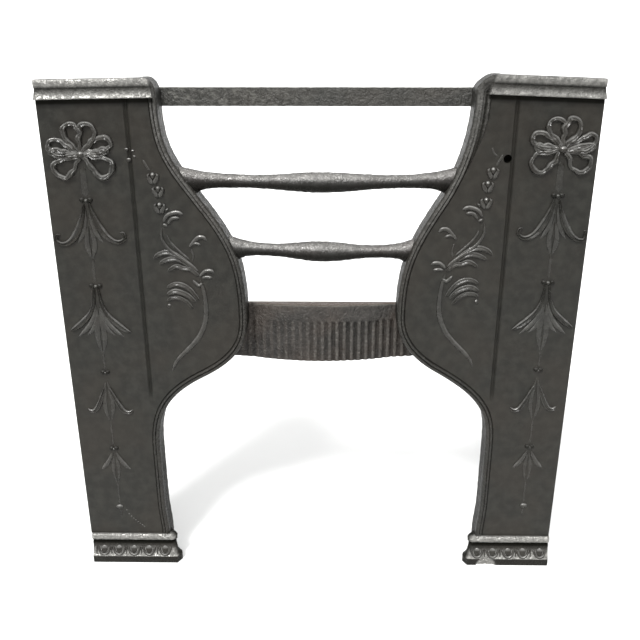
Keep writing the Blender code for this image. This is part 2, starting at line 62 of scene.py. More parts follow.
RIM_WIDENS = (0.6, 0.69)
# Heights over which the flank's painted shade fades and the rim's painted highlight grows.
SHADE_FADES = (0.44, 0.6)
TOP_DRAWN_IN = 0.0024
FOOT_RETURN = 1.1
REED_END_HEIGHT = 0.29
ARRIS = 0.0014
HOLE_RADIUS = 0.0055
HOLE_REACH = 0.2365
HOLE_HEIGHT = 0.6245
# Skin left behind the fixing hole; the hole's floor is painted black as shade.
HOLE_FLOOR = 0.0005
CHIP_REACH = 0.2545
CHIP_HALF_WIDTH = 0.015
CHIP_HEIGHT = 0.0135
CHIP_DEPTH = 0.0024
DENT_REACH = 0.28
DENT_DEPTH = 0.0011
STIPPLED_REACH = 0.138
STIPPLED_HEIGHT = 0.435
SHARP_ANGLE = 38
LATTICE = 97

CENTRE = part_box("left_plate")[0][0] + LEFT_OUTER_EDGE
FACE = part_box("left_plate")[0][1] + FOOT_PROJECTION

# Edges, axis and reed are reaches from the fire's centre line, and lift raises the carving. Shoulder,
# bulge and under are bends of the edge: reach, height, slope in degrees, and the lengths of the curve's
# handles above and below.
LEFT = {
    "name": "left", "side": -1, "seed": 11,
    "outer": LEFT_OUTER_EDGE, "foot_end": LEFT_OUTER_EDGE - 0.002,
    "height": 0.7235, "top_rise": 0.0028,
    "top_edge": 0.2068, "corner_reach": 0.0145, "corner_roundness": 0.52,
    "axis": 0.309, "reed": 0.2465, "lift": 0.0, "curl_lift": 0.0,
    "rim_widening": 0.0, "cornice_end": 0.2105, "cornice_slant": 0.2,
    "top_curve": 0.07,
    "shoulder": (0.1506, 0.5597, 54.3, 0.079, 0.066),
    "bulge": (0.104, 0.405, 90.0, 0.07, 0.037),
    "under": (0.1667, 0.3165, 27.9, 0.053, 0.061),
    "knee_curve": 0.061,
}
RIGHT = {
    "name": "right", "side": 1, "seed": 23,
    "outer": RIGHT_OUTER_EDGE, "foot_end": RIGHT_OUTER_EDGE,
    "height": 0.728, "top_rise": 0.0055,
    "top_edge": 0.1904, "corner_reach": 0.026, "corner_roundness": 0.38,
    "axis": 0.305, "reed": 0.2432, "lift": 0.0075, "curl_lift": 0.0045,
    "rim_widening": 0.8, "cornice_end": 0.206, "cornice_slant": 0.3,
    "top_curve": 0.063,
    "shoulder": (0.1503, 0.5641, 58.3, 0.043, 0.069),
    "bulge": (0.103, 0.409, 90.0, 0.066, 0.038),
    "under": (0.1601, 0.325, 30.5, 0.036, 0.089),
    "knee_curve": 0.053,
}
PLATES = (LEFT, RIGHT)


def place(plate, reach, depth, height):
    """Points in the frame, from the reach off the centre line, the depth behind the face and the height."""
    across = CENTRE + plate["side"] * reach
    return np.stack(np.broadcast_arrays(across, FACE + depth, height), axis=-1)


def ease(x, start, end):
    """0 before start, 1 after end, and the smooth cubic between."""
    t = np.clip((x - start) / (end - start), 0.0, 1.0)
    return t * t * (3 - 2 * t)


def hump(x, middle, reach, power=2):
    """1 at the middle, falling to both sides as e to the minus a power of the distance over the reach."""
    return np.exp(-(((x - middle) / reach) ** power))


def half_round(x, middle=0.0, half_width=1.0):
    """A half ellipse 1 high about the middle, and 0 beside it."""
    return np.sqrt(np.clip(1 - ((x - middle) / half_width) ** 2, 0, 1))


def quarter_round(x, width):
    """A quarter ellipse that rises from 0 to 1 over the width."""
    return np.sqrt(1 - (1 - np.clip(x / width, 0, 1)) ** 2)


def unevenness(u, v, cell, seed):
    """Smooth random heights from -1 to 1: random values on a square lattice, blended by the smooth cubic."""
    table = np.random.default_rng(seed).uniform(-1, 1, (LATTICE, LATTICE))
    i, j = np.floor(u / cell).astype(int), np.floor(v / cell).astype(int)
    s, t = ease(u / cell - i, 0, 1), ease(v / cell - j, 0, 1)
    left, right, low, high = (index % LATTICE for index in (i, i + 1, j, j + 1))
    near = table[left, low] * (1 - s) + table[right, low] * s
    far = table[left, high] * (1 - s) + table[right, high] * s
    return near * (1 - t) + far * t


def bezier(a, b, c, d, steps=40):
    """The cubic curve from a to d with handles b and c."""
    t = np.linspace(0.0, 1.0, steps + 1)[:, None]
    return (1 - t) ** 3 * a + 3 * (1 - t) ** 2 * t * b + 3 * (1 - t) * t**2 * c + t**3 * d


def edge_line(plate):
    """The edge to the fire as (reach, height) points from the top down: rounded corner, swell and leg."""
    down = np.array((0.0, -1.0))
    bends = []
    for name, turn in (("shoulder", -1), ("bulge", -1), ("under", 1)):
        reach, height, slope, above, below = plate[name]
        heading = np.array((turn * np.cos(np.radians(slope)), -np.sin(np.radians(slope))))
        bends.append((np.array((reach, height)), heading, above, below))
    top = np.array((plate["top_edge"], plate["height"] - CORNER_HEIGHT))
    knee = np.array((LEG_EDGE, KNEE_HEIGHT))
    bends = [(top, down, 0.0, plate["top_curve"])] + bends + [(knee, down, plate["knee_curve"], 0.0)]
    corner = np.array((plate["corner_reach"], CORNER_HEIGHT))
    across, up = corner * plate["corner_roundness"]
    start = top + corner
    pieces = [bezier(start, start - (across, 0), top + (0, up), top, 24)]
    for (a, leave, _, out), (b, arrive, back, _) in zip(bends, bends[1:]):
        pieces.append(bezier(a, a + leave * out, b - arrive * back, b)[1:])
    leg, foot = np.array((LEG_EDGE, LEG_SPREAD_START)), np.array((LEG_EDGE_AT_FOOT, FOOT_HEIGHT))
    pieces.append(bezier(leg, leg - (0, 0.03), foot + (0, 0.02), foot, 8))
    pieces.append(np.array([(LEG_EDGE_AT_FOOT, 0.0)]))
    return np.vstack(pieces)


def reach_at(line, heights):
    """How far a falling line stands from the centre line at each height."""
    return np.interp(heights, np.maximum.accumulate(line[::-1, 1]), line[::-1, 0])


def inset(line, distance):
    """The line moved into the plate by a distance, along its normals."""
    along = np.gradient(line, axis=0)
    along /= np.linalg.norm(along, axis=1)[:, None]
    return line + np.column_stack((-along[:, 1], along[:, 0])) * np.reshape(distance, (-1, 1))


def distance_to(line, reach, height):
    """The shortest distance from each point to the line, over its straight runs."""
    nearest = np.full(reach.shape, 1.0)
    for a, b in zip(line, line[1:]):
        along = b - a
        share = np.clip(((reach - a[0]) * along[0] + (height - a[1]) * along[1]) / (along @ along), 0, 1)
        gap = np.hypot(reach - a[0] - along[0] * share, height - a[1] - along[1] * share)
        nearest = np.minimum(nearest, gap)
    return nearest


def rim_height(gap, widening):
    """Relief of the rim by the distance from the edge: a quarter round, one bead or two, and a groove."""
    mm = gap * 1000
    quarter = -2.5 + 5.3 * quarter_round(mm, 5.0)
    bead = 0.3 + 2.0 * half_round(mm, 7.7, 2.0)
    narrow = np.where(mm < 5.1, quarter, np.where(mm < 5.8, 0.4, np.where(mm < 9.7, bead, -0.5)))
    narrow = np.where(mm < 10.9, narrow, 0.0)
    edge = -2.5 + 5.0 * quarter_round(mm, 3.5)
    thin = 0.5 + 1.6 * half_round(mm, 10.7, 1.5)
    far = 0.2 + 1.9 * half_round(mm, 16.6, 2.2)
    wide = np.where(mm < 8.9, edge, np.where(mm < 12.3, thin, np.where(mm < 14.3, 0.1, far)))
    wide = np.where(mm < 18.9, wide, np.where(mm < 19.9, -0.4, 0.0))
    return (narrow * (1 - widening) + wide * widening) / 1000


def cornice_height(drop):
    """Relief of the cornice by the distance below its top: a torus, then a cove that flares to a lip."""
    mm = drop * 1000
    torus = 3.9 + 4.6 * half_round(mm, 4.8, 6.0)
    cove = 4.9 + 3.7 * np.clip((mm - 11.0) / 11.7, 0, 1) ** 1.6
    lip = 8.6 - 0.9 * np.clip((mm - 22.7) / 1.3, 0, 1) ** 2
    body = np.where(mm < 10.8, np.maximum(torus, cove), cove)
    return np.where(mm < 22.7, body, np.where(mm < 24.0, lip, 0.0)) / 1000


def foot_height(height):
    """Relief of the foot: a plinth, a hollow that draws in above it, a dark groove and a bead."""
    mm = height * 1000
    bead_low = FOOT_BEAD_LOW * 1000
    plinth = 10.0 - 0.5 * np.clip((mm - 11.4) / 0.9, 0, 1) ** 2
    hollow = 3.0 + 6.0 * np.clip((33.0 - mm) / 20.7, 0, 1) ** 2.1
    bead = 1.0 + 4.4 * half_round(mm, 42.6, 5.9)
    upper = np.where(mm < bead_low, 1.6, bead)
    return np.where(mm < 12.3, plinth, np.where(mm < 33.0, hollow, upper)) / 1000


def ring_form(grid, wear_and_highlight=0.0, pitted=0.0, painted_shade=0.0, rusty=0.0):
    """A closed form over rings of points: grid[i, j] is point j of ring i, with a flat end on both sides."""
    rings, count = grid.shape[:2]
    at = np.arange(rings * count).reshape(rings, count)
    beside = np.roll(at, -1, axis=1)
    quads = np.stack((at[:-1], beside[:-1], beside[1:], at[1:]), axis=-1).reshape(-1, 4)
    points = grid.reshape(-1, 3)
    ends = [at[0][::-1], at[-1]]
    a, b, c, d = (points[quads[:, k]] for k in range(4))
    volume = np.einsum("ij,ij->", a, np.cross(b, c)) + np.einsum("ij,ij->", a, np.cross(c, d))
    for end, way in ((points[at[0]], -1), (points[at[-1]], 1)):
        volume += way * np.sum(np.cross(end[1:-1], end[2:]) @ end[0])
    if volume < 0:
        quads, ends = quads[:, ::-1], [end[::-1] for end in ends]
    marks = (wear_and_highlight, pitted, painted_shade, rusty)
    marks = np.stack([np.broadcast_to(mark, (rings, count)).reshape(-1) for mark in marks])
    return points, quads, ends, marks


def cast(name, forms, material, node=None, crease=SHARP_ANGLE):
    """One piece from closed forms, on the grate, with its wear and painted highlight, pits, painted shade and rust as
    attributes.
    """
    points, faces, marks, first = [], [], [], 0
    for form_points, quads, ends, form_marks in forms:
        points.append(form_points)
        faces += (first + quads).tolist() + [(first + end).tolist() for end in ends]
        marks.append(form_marks)
        first += len(form_points)
    mesh = bpy.data.meshes.new(name)
    mesh.from_pydata(np.vstack(points).tolist(), [], faces)
    for label, values in zip(("wear_and_highlight", "pitted", "painted_shade", "rusty"), np.hstack(marks)):
        mesh.attributes.new(label, "FLOAT", "POINT").data.foreach_set("value", values.astype(np.float32))
    mesh.materials.append(material)
    mesh.shade_smooth()
    mesh.set_sharp_from_angle(angle=np.radians(crease))
    piece = bpy.data.objects.new(name, mesh)
    bpy.context.scene.collection.objects.link(piece)
    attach(piece, "root")
    if node:
        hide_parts(node)
    return piece


def black_leaded_iron(name, dark, light, rust, bare_and_highlight, roughness, pit_depth, polish=0.2, shine=0.5):
    """Cast iron rubbed with black lead: mottled grey, brown where it rusts, lighter toward bare metal where it is worn
    and where a highlight is painted, and near black without shine where shade is painted.
    """
    material = bpy.data.materials.new(name)
    material.use_nodes = True
    nodes, links = material.node_tree.nodes, material.node_tree.links
    shader = nodes["Principled BSDF"]
    spot = nodes.new("ShaderNodeTexCoord").outputs["Object"]

    def noise(scale, detail, rough=0.55):
        node = nodes.new("ShaderNodeTexNoise")
        node.inputs["Scale"].default_value = scale
        node.inputs["Detail"].default_value = detail
        node.inputs["Roughness"].default_value = rough
        links.new(spot, node.inputs["Vector"])
        return node.outputs["Fac"]

    def spread(value, low, high, to_low=0.0, to_high=1.0):
        node = nodes.new("ShaderNodeMapRange")
        node.interpolation_type = "SMOOTHSTEP"
        for socket, number in zip(node.inputs[1:5], (low, high, to_low, to_high)):
            socket.default_value = number
        links.new(value, node.inputs["Value"])
        return node.outputs["Result"]

    def maths(kind, a, b):
        node = nodes.new("ShaderNodeMath")
        node.operation = kind
        for socket, value in zip(node.inputs, (a, b)):
            if isinstance(value, float):
                socket.default_value = value
            else:
                links.new(value, socket)
        return node.outputs[0]

    def blend(share, below, above):
        node = nodes.new("ShaderNodeMix")
        node.data_type = "RGBA"
        links.new(share, node.inputs["Factor"])
        for socket, value in ((node.inputs["A"], below), (node.inputs["B"], above)):
            if isinstance(value, tuple):
                socket.default_value = (*value, 1.0)
            else:
                links.new(value, socket)
        return node.outputs["Result"]

    def mark(label):
        node = nodes.new("ShaderNodeAttribute")
        node.attribute_name = label
        return node.outputs["Fac"]

    def bump(height, strength, distance, below=None):
        node = nodes.new("ShaderNodeBump")
        node.inputs["Strength"].default_value = strength
        node.inputs["Distance"].default_value = distance
        links.new(height, node.inputs["Height"])
        if below:
            links.new(below, node.inputs["Normal"])
        return node.outputs["Normal"]

    patches = spread(noise(11.0, 3.0), 0.38, 0.66)
    mottle = noise(70.0, 4.0)
    grain = noise(520.0, 3.0, 0.6)
    pits = noise(250.0, 3.0, 0.6)
    hammered = noise(150.0, 2.0, 0.5)
    wear_and_highlight, pitted, painted_shade, rusty = mark("wear_and_highlight"), mark("pitted"), mark("painted_shade"), mark("rusty")
    wear_and_highlight = maths("MULTIPLY", wear_and_highlight, spread(hammered, 0.34, 0.62, 0.55, 1.0))
    unshaded = maths("SUBTRACT", 1.0, painted_shade)
    colour = blend(spread(mottle, 0.35, 0.7), dark, light)
    colour = blend(maths("MAXIMUM", maths("MULTIPLY", patches, 0.35), rusty), colour, rust)
    # Wear and painted highlight lighten the colour toward bare metal, and make it more metallic and glossier.
    colour = blend(wear_and_highlight, colour, bare_and_highlight)
    # Painted shade turns the colour near black and takes away its shine and metal.
    colour = blend(maths("MULTIPLY", painted_shade, 0.88), colour, (0.005, 0.005, 0.004))
    links.new(colour, shader.inputs["Base Color"])
    links.new(maths("MULTIPLY", unshaded, shine), shader.inputs["Specular IOR Level"])
    metal = maths("MAXIMUM", maths("MULTIPLY", wear_and_highlight, 0.85), polish)
    links.new(maths("MULTIPLY", metal, unshaded), shader.inputs["Metallic"])
    gloss = maths("MULTIPLY", wear_and_highlight, -0.06)
    gloss = maths("ADD", gloss, spread(mottle, 0.3, 0.7, roughness - 0.05, roughness + 0.07))
    links.new(gloss, shader.inputs["Roughness"])

    normal = bump(maths("MULTIPLY", spread(pits, 0.3, 0.66), maths("ADD", pitted, 0.05)), 1.0, pit_depth)
    normal = bump(grain, 0.5, 0.00012, normal)
    normal = bump(noise(38.0, 2.0), 0.5, 0.001, normal)
    links.new(normal, shader.inputs["Normal"])
    return material


plate_iron = black_leaded_iron(
    "black_leaded_plate", (0.015, 0.0145, 0.0125), (0.024, 0.0235, 0.02), (0.027, 0.022, 0.017),
    (0.26, 0.255, 0.24), roughness=0.4, pit_depth=0.0011, shine=0.22)


def between(start, end, shares):
    """Columns at the given shares of the way from start to end, row by row."""
    return start[:, None] + (end - start)[:, None] * np.asarray(shares)[None, :]


def rim_spread(plate, height):
    """How far the rim has widened: nothing at mid height, the plate's full widening at the shoulder."""
    return plate["rim_widening"] * ease(height, *RIM_WIDENS)


def field_relief(plate, reach, level, reed):
    """Relief and painted shade of the field: a slightly wavy face, and the reed between its two grooves, which are
    painted dark as shade.
    """
    aside = (reach - reed[:, None]) * 1000
    reed_share = ease(level, REED_END_HEIGHT - 0.012, REED_END_HEIGHT + 0.004)
    profile = 1.0 * hump(aside, 0, 1.2) - 1.7 * hump(aside, 0, 2.7, 6)
    relief = 0.00012 * unevenness(reach, level, 0.035, plate["seed"] + 1) + profile / 1000 * reed_share
    return relief, 0.55 * hump(aside, 0, 3.0, 4) * reed_share


def cornice_relief(plate, reach, level, pits):
    """Relief of the cornice, which ends in a slanted return before it meets the rim."""
    drop = plate["height"] - level
    shelf = plate["cornice_end"] + plate["cornice_slant"] * (CORNICE_HEIGHT - drop)
    cornice = cornice_height(drop) * (drop < CORNICE_HEIGHT) + 0.00026 * pits
    return np.maximum(cornice * ease(reach, shelf - 0.0022, shelf + 0.0006), -1.0)


def plate_face(plate, reach, level, outer, gap, rim, reed):
    """Relief, wear and painted highlight, pits and painted shade of the face: field and reed, then rim, cornice and
    foot over them.
    """
    drop = plate["height"] - level
    in_cornice = drop < CORNICE_HEIGHT
    in_foot = level < FOOT_HEIGHT - 1e-6
    on_rim = gap < rim[:, None] + 0.0004
    pits = unevenness(reach, level, 0.0026, plate["seed"]) * 0.6 + unevenness(reach, level, 0.0014, 5) * 0.5

    # Relief, and painted shade: in the reed's grooves and the rim's hollows, a painted shadow under the cornice and a
    # dark band in its cove, and in the groove under the foot's bead and on its plinth.
    relief, painted_shade = field_relief(plate, reach, level, reed)
    rim_relief = rim_height(gap, rim_spread(plate, level)) + 0.00022 * pits
    relief = np.where(on_rim, rim_relief, relief)
    painted_shade = np.where(on_rim, 0.8 * (1 - ease(rim_relief, -0.0002, 0.0011)) * (gap > 0.004), painted_shade)
    shade = ease(drop, CORNICE_HEIGHT - 0.0008, CORNICE_HEIGHT + 0.0004)
    shade = shade * (1 - ease(drop, CORNICE_HEIGHT + 0.0045, CORNICE_HEIGHT + 0.0085))
    shade = shade * ease(reach, plate["cornice_end"] - 0.001, plate["cornice_end"] + 0.001)
    painted_shade = np.maximum(painted_shade, 0.9 * shade)

    relief = np.where(in_cornice, np.maximum(relief, cornice_relief(plate, reach, level, pits)), relief)
    foot_rough = (0.00018 + 0.0003 * (level > FOOT_BEAD_LOW)) * pits
    relief = np.where(in_foot, np.minimum(foot_height(level) + foot_rough, FOOT_PROJECTION), relief)
    foot_shade = np.maximum(hump(level, 0.0345, 0.0042, 4), 0.5 * (1 - ease(level, 0.0095, 0.012)))
    painted_shade = np.where(in_foot, foot_shade, painted_shade)
    painted_shade = np.where(in_cornice, 0.5 * hump(drop, 0.0108, 0.0038) * (relief > 0.002), painted_shade)
    from_outer = np.clip(outer[:, None] - reach, 0, ARRIS)
    relief = relief - (ARRIS - np.sqrt(ARRIS**2 - (ARRIS - from_outer) ** 2))

    # The skin is rough on the mouldings. The parts that stand highest are lightened toward bare metal, partly as wear
    # and partly as painted highlight: the cornice's torus and lip, the bead and the up-facing lower hollow of the
    # foot, and the rim's crests, more so higher up.
    pitted = 0.9 * on_rim + 0.6 * (drop < CORNICE_HEIGHT + 0.001) + 0.8 * in_foot
    stippled = 0.5 * hump(reach, STIPPLED_REACH, 0.022) * hump(level, STIPPLED_HEIGHT, 0.06)
    pitted = np.clip(pitted + stippled * (plate is LEFT), 0, 1)
    wear_and_highlight = np.where(in_cornice, 0.15 + 0.85 * ease(relief, 0.0048, 0.008), 0.0)
    foot_wear = ease(level, 0.029, 0.015) * (level > 0.0112) + ease(level, FOOT_BEAD_LOW, FOOT_BEAD_LOW + 0.0013) * 1.1
    wear_and_highlight = np.maximum(wear_and_highlight, np.where(in_foot, foot_wear, 0.0))
    rim_wear = ease(relief, 0.0008, 0.0024) * (0.05 + 0.19 * ease(level, *SHADE_FADES))
    wear_and_highlight = np.maximum(wear_and_highlight, np.where(on_rim & ~in_foot, rim_wear, 0.0))

    # The chip shows clean, bright iron.
    if plate is RIGHT:
        from_chip = np.hypot((reach - CHIP_REACH) / CHIP_HALF_WIDTH, (level - 0.0005) / CHIP_HEIGHT)
        broken = 1.0 - ease(from_chip, 0.75, 1.08)
        relief = relief - CHIP_DEPTH * broken * in_foot * (1 + 0.6 * pits)
        wear_and_highlight = np.clip(np.where(in_cornice, 0.7, 1.0) * wear_and_highlight + 1.8 * broken, 0, 1.8)
        painted_shade = painted_shade * (1 - broken)
    return relief, wear_and_highlight, pitted, painted_shade


def plate_form(plate):
    """Level rings: over the face from the outer edge to the fire, back along the flange, and home."""
    line = edge_line(plate)
    top = plate["height"]
    rows = np.concatenate((
        np.linspace(0.0, FOOT_HEIGHT, 88)[:-1], np.linspace(FOOT_HEIGHT, top - 0.034, 520)[:-1],
        np.linspace(top - 0.034, top, 62)))
    in_foot = rows < FOOT_HEIGHT - 1e-6
    foot = np.where(in_foot, foot_height(rows), 0.0)
    rim = RIM_WIDTH * (1 + rim_spread(plate, rows))
    rim_line = inset(line, RIM_WIDTH * (1 + rim_spread(plate, line[:, 1])) + 0.0006)
    edge = reach_at(line, rows) - FOOT_RETURN * foot
    outer = np.where(in_foot, plate["foot_end"], plate["outer"])
    outer = outer - TOP_DRAWN_IN * ease(rows, top - 0.03, top - 0.006)
    rim_start = np.maximum(reach_at(rim_line, rows), edge + rim * 0.45)
    flange = np.maximum(reach_at(inset(line, FLANGE_THICKNESS), rows), edge + FLANGE_THICKNESS)
    reed = np.maximum(plate["reed"], rim_start + 0.009)
    reach = np.hstack((
        outer[:, None] - np.array((0.0, 0.0002, 0.0006, 0.0014)),
        between(outer - 0.003, reed + 0.0048, np.linspace(0, 1, 36)),
        between(reed + 0.0042, reed - 0.0042, np.linspace(0, 1, 17)),
        between(reed - 0.0048, rim_start, np.linspace(0, 1, 24)),
        between(rim_start, edge, (
            0.05, 0.09, 0.13, 0.17, 0.21, 0.26, 0.31, 0.36, 0.41, 0.45, 0.48, 0.51, 0.54, 0.57,
            0.61, 0.66, 0.71, 0.76, 0.81, 0.86, 0.905, 0.945, 0.975, 0.992, 1.0)),
    ))
    level = np.broadcast_to(rows[:, None], reach.shape)
    gap = distance_to(line, reach, level)
    relief, wear_and_highlight, pitted, painted_shade = plate_face(plate, reach, level, outer, gap, rim, reed)

    # Behind the face: the flank beside the fire, the inside of the flange, the plain back, the outer side.
    flank_depth = between(-relief[:, -1], np.full(len(rows), FLANGE_DEPTH), (
        0.12, 0.26, 0.42, 0.6, 0.8, 0.97, 1.0))
    side_depth = between(np.full(len(rows), PLATE_THICKNESS), -relief[:, 0], (0.0, 0.35, 0.7))
    flange_depth = np.array((FLANGE_DEPTH, 0.021, 0.0145, PLATE_THICKNESS))
    back_reach = between(flange, outer, (0.06, 0.25, 0.5, 0.75, 0.97))
    bulge = np.interp(
        flank_depth, (-0.01, -0.001, 0.006, 0.018, FLANGE_DEPTH), (0.0, 0.006, 0.005, -0.0115, -0.012))
    bulge = np.maximum(bulge, -FOOT_RETURN * foot[:, None]) * in_foot[:, None]
    flank_rough = 0.0003 * unevenness(flank_depth, rows[:, None] + 0 * flank_depth, 0.003, 7)
    flank = edge[:, None] - bulge + flank_rough
    ring_reach = np.hstack((
        reach, flank, np.repeat(flange[:, None], 4, 1), back_reach, np.repeat(outer[:, None], 3, 1)))
    ring_depth = np.hstack((
        -relief, flank_depth, np.repeat(flange_depth[None, :], len(rows), 0),
        np.full(back_reach.shape, PLATE_THICKNESS), side_depth))

    # The top slopes down toward its outer end, and the right one has a small dent.
    from_return = (ring_reach - plate["cornice_end"]) / (plate["outer"] - plate["cornice_end"])
    fall = plate["top_rise"] * np.clip(from_return, 0, 1)
    dent = DENT_DEPTH * hump(ring_reach, DENT_REACH, 0.006) * (plate is RIGHT)
    ramp = ease(rows, top - 0.06, top - 0.026)[:, None]
    ring_height = rows[:, None] - (fall + dent * ease(rows, top - 0.006, top)[:, None]) * ramp

    flank_columns = flank.shape[1]
    plain_columns = ring_reach.shape[1] - reach.shape[1] - flank_columns
    raised = ease(rows, *SHADE_FADES)

    def behind(on_flank, on_back, share):
        return share[:, None] * np.repeat((on_flank, on_back), (flank_columns, plain_columns))[None, :]

    # The flank beside the fire gets painted shade, strongest low down, and faint wear and painted highlight higher up.
    pitted = np.hstack((pitted, behind(0.9, 0.3, np.ones(len(rows)))))
    painted_shade = np.hstack((painted_shade, behind(0.75, 0.0, 1 - 0.7 * raised)))
    wear_and_highlight = np.hstack((wear_and_highlight, behind(0.04, 0.0, raised)))
    return ring_form(place(plate, ring_reach, ring_depth, ring_height), wear_and_highlight, pitted, painted_shade)


def drill(piece, reach, height, radius, deep):
    """Takes a cylinder along the depth out of the right plate, and paints the bottom of the hole black as shade."""
    around = np.linspace(0, 2 * np.pi, 49)[:-1]
    depth = np.array((-2 * FOOT_PROJECTION, deep))[:, None]
    points, quads, ends, _ = ring_form(
        place(RIGHT, reach + radius * np.cos(around), depth, height + radius * np.sin(around)))
    tool = bpy.data.meshes.new("drill")
    tool.from_pydata(points.tolist(), [], quads.tolist() + [end.tolist() for end in ends])
    drill_bit = bpy.data.objects.new("drill", tool)
    bpy.context.scene.collection.objects.link(drill_bit)
    cut = piece.modifiers.new("hole", "BOOLEAN")
    cut.object = drill_bit
    cut.operation = "DIFFERENCE"
    bored = bpy.data.meshes.new_from_object(piece.evaluated_get(bpy.context.evaluated_depsgraph_get()))
    piece.modifiers.clear()
    piece.data = bored
    bored.set_sharp_from_angle(angle=np.radians(SHARP_ANGLE))
    spots = np.empty(3 * len(bored.vertices), np.float32)
    bored.vertices.foreach_get("co", spots)
    x, y, z = spots.reshape(-1, 3).T
    from_axis = np.hypot(x - CENTRE - reach, z - height)
    inside = (from_axis < 1.05 * radius) & (np.abs(y - FACE - deep) < 0.0002)
    # The floor of the hole is painted black as shade, with no wear or highlight.
    for label, value in (("painted_shade", 1.3), ("wear_and_highlight", 0.0)):
        marks = np.empty(len(x), np.float32)
        bored.attributes[label].data.foreach_get("value", marks)
        bored.attributes[label].data.foreach_set("value", np.where(inside, value, marks).astype(np.float32))
    bpy.data.objects.remove(drill_bit)


for plate in PLATES:
    casting = cast(
        f"{plate['name']}_casting", [plate_form(plate)], plate_iron, f"{plate['name']}_plate")
    if plate is RIGHT:
        drill(casting, HOLE_REACH, HOLE_HEIGHT, HOLE_RADIUS, PLATE_THICKNESS - HOLE_FLOOR)

# The bow of ribbon and its knot, at the head of each pilaster.
# It is carved in the pattern and cast with the plate: eight loops of a narrow ribbon, with a painted
# highlight on the edges that stand highest and face up, and painted shade along their feet.
RIBBON_WIDTH = 0.0066
RIBBON_RELIEF = 0.005
KNOT_HEIGHT = 0.629
KNOT_SIZE = (0.006, 0.005, 0.0058)
CRUMPLE = 0.0023
CARVING_CREASE = 60
# Each loop: how far its end lies toward the fire and above the knot, and half its width.
BOW_LOOPS = (
    (-0.012, 0.038, 0.0098), (0.014, 0.038, 0.0092), (0.039, 0.017, 0.0082), (0.035, 0.004, 0.0034),
    (0.037, -0.022, 0.0118), (-0.034, -0.024, 0.0112), (-0.038, 0.003, 0.0034), (-0.04, 0.014, 0.0082),
)

carving_iron = black_leaded_iron(
    "black_leaded_carving", (0.015, 0.0145, 0.0125), (0.025, 0.0245, 0.021), (0.027, 0.022, 0.017),
    (0.34, 0.335, 0.32), roughness=0.26, pit_depth=0.0006, polish=0.06, shine=0.27)


def curve_through(points, steps=7):
    """A smooth curve through the points: each run is a cubic with the slopes of its neighbours' chords."""
    points = np.asarray(points, float)
    padded = np.vstack((2 * points[0] - points[1], points, 2 * points[-1] - points[-2]))
    t = np.linspace(0, 1, steps + 1)[:, None]
    runs = []
    for a, b, c, d in zip(padded, padded[1:], padded[2:], padded[3:]):
        runs.append(0.5 * (
            2 * b + (c - a) * t + (2 * a - 5 * b + 4 * c - d) * t**2 + (3 * b - a - 3 * c + d) * t**3))
    return np.vstack([runs[0][:1]] + [run[1:] for run in runs])


def ridge_form(plate, path, widths, relief, section=half_round, across=11, base=None, close=0.16, wear=1.0):
    """A carved ridge: a section of heights carried along a path, eased to nothing at its ends."""
    path = np.asarray(path, float)
    widths = np.atleast_1d(widths)
    steps = np.hypot(*np.gradient(path, axis=0).T)
    length = np.concatenate(((0,), np.cumsum(0.5 * (steps[1:] + steps[:-1]))))
    share = length / length[-1]
    widths = np.interp(share, np.linspace(0, 1, len(widths)), widths)
    ends = np.maximum(np.sqrt(np.clip(np.minimum(share, 1 - share) / close, 0.0, 1)), 0.12)
    along = np.gradient(path, axis=0)
    along /= np.linalg.norm(along, axis=1)[:, None]
    aside = np.column_stack((-along[:, 1], along[:, 0]))
    v = np.sin(np.linspace(-np.pi / 2, np.pi / 2, across))
    half = (widths * ends * 0.5)[:, None]
    flat = path[:, None, :] + aside[:, None, :] * (v[None, :] * half)[..., None]
    height = relief * ends[:, None] * section(v)[None, :] - 0.0002
    bottom = np.full((len(path), 2), -0.0012)
    flat = np.concatenate((flat, flat[:, -1:], flat[:, :1]), axis=1)
    height = np.hstack((height, bottom))
    if base is not None:
        height = np.minimum(height + base(flat[..., 0], flat[..., 1]), FOOT_PROJECTION)
    # Painted highlight on the raised side of the ridge that faces up, partly wear, scaled by the ridge's share of wear
    # and highlight.
    upward = ease(v[None, :] * aside[:, 1:2], 0.0, 0.75)
    wear_and_highlight = 0.55 * wear * (0.08 + 0.92 * upward) * ease(section(v), 0.2, 0.8)[None, :]
    wear_and_highlight = np.hstack((wear_and_highlight, np.zeros((len(path), 2))))
    # Painted shade along both feet of the ridge and under it.
    sides = np.concatenate((0.6 * ease(np.abs(v), 0.85, 1.0), (1.0, 1.0)))
    return ring_form(place(plate, flat[..., 0], -height, flat[..., 1]), wear_and_highlight, 0.25, sides)


def boss_form(plate, reach, height, across, tall, relief, turn=0.0, base=None, dark=0.0):
    """A rounded boss: half an ellipsoid over the face, turned in its plane."""
    rise = np.linspace(-0.35, np.pi / 2 - 0.08, 8)[:, None]
    around = np.linspace(0, 2 * np.pi, 19)[None, :-1]
    x = across * np.cos(rise) * np.cos(around)
    z = tall * np.cos(rise) * np.sin(around)
    flat_reach = reach + x * np.cos(turn) - z * np.sin(turn)
    flat_height = height + x * np.sin(turn) + z * np.cos(turn)
    out = relief * np.sin(rise) + 0 * around
    if base is not None:
        out = np.minimum(out + base(flat_reach, flat_height), FOOT_PROJECTION)
    # Painted highlight on the upper side of the boss and painted shade round its foot; dark adds painted shade all
    # over.
    wear_and_highlight = 0.5 * ease(np.cos(rise) * np.sin(around), 0.1, 0.7) * (1 - dark)
    painted_shade = np.maximum(1 - ease(np.sin(rise) + 0 * around, 0.0, 0.4), dark)
    return ring_form(place(plate, flat_reach, -out, flat_height), wear_and_highlight, 0.25, painted_shade)


def ribbon_section(v):
    """A ribbon rolled at both edges, with a shallow hollow along its middle."""
    return np.sqrt(np.clip(1 - v**4, 0, 1)) * (1 - 0.3 * hump(v, -0.05, 0.34))


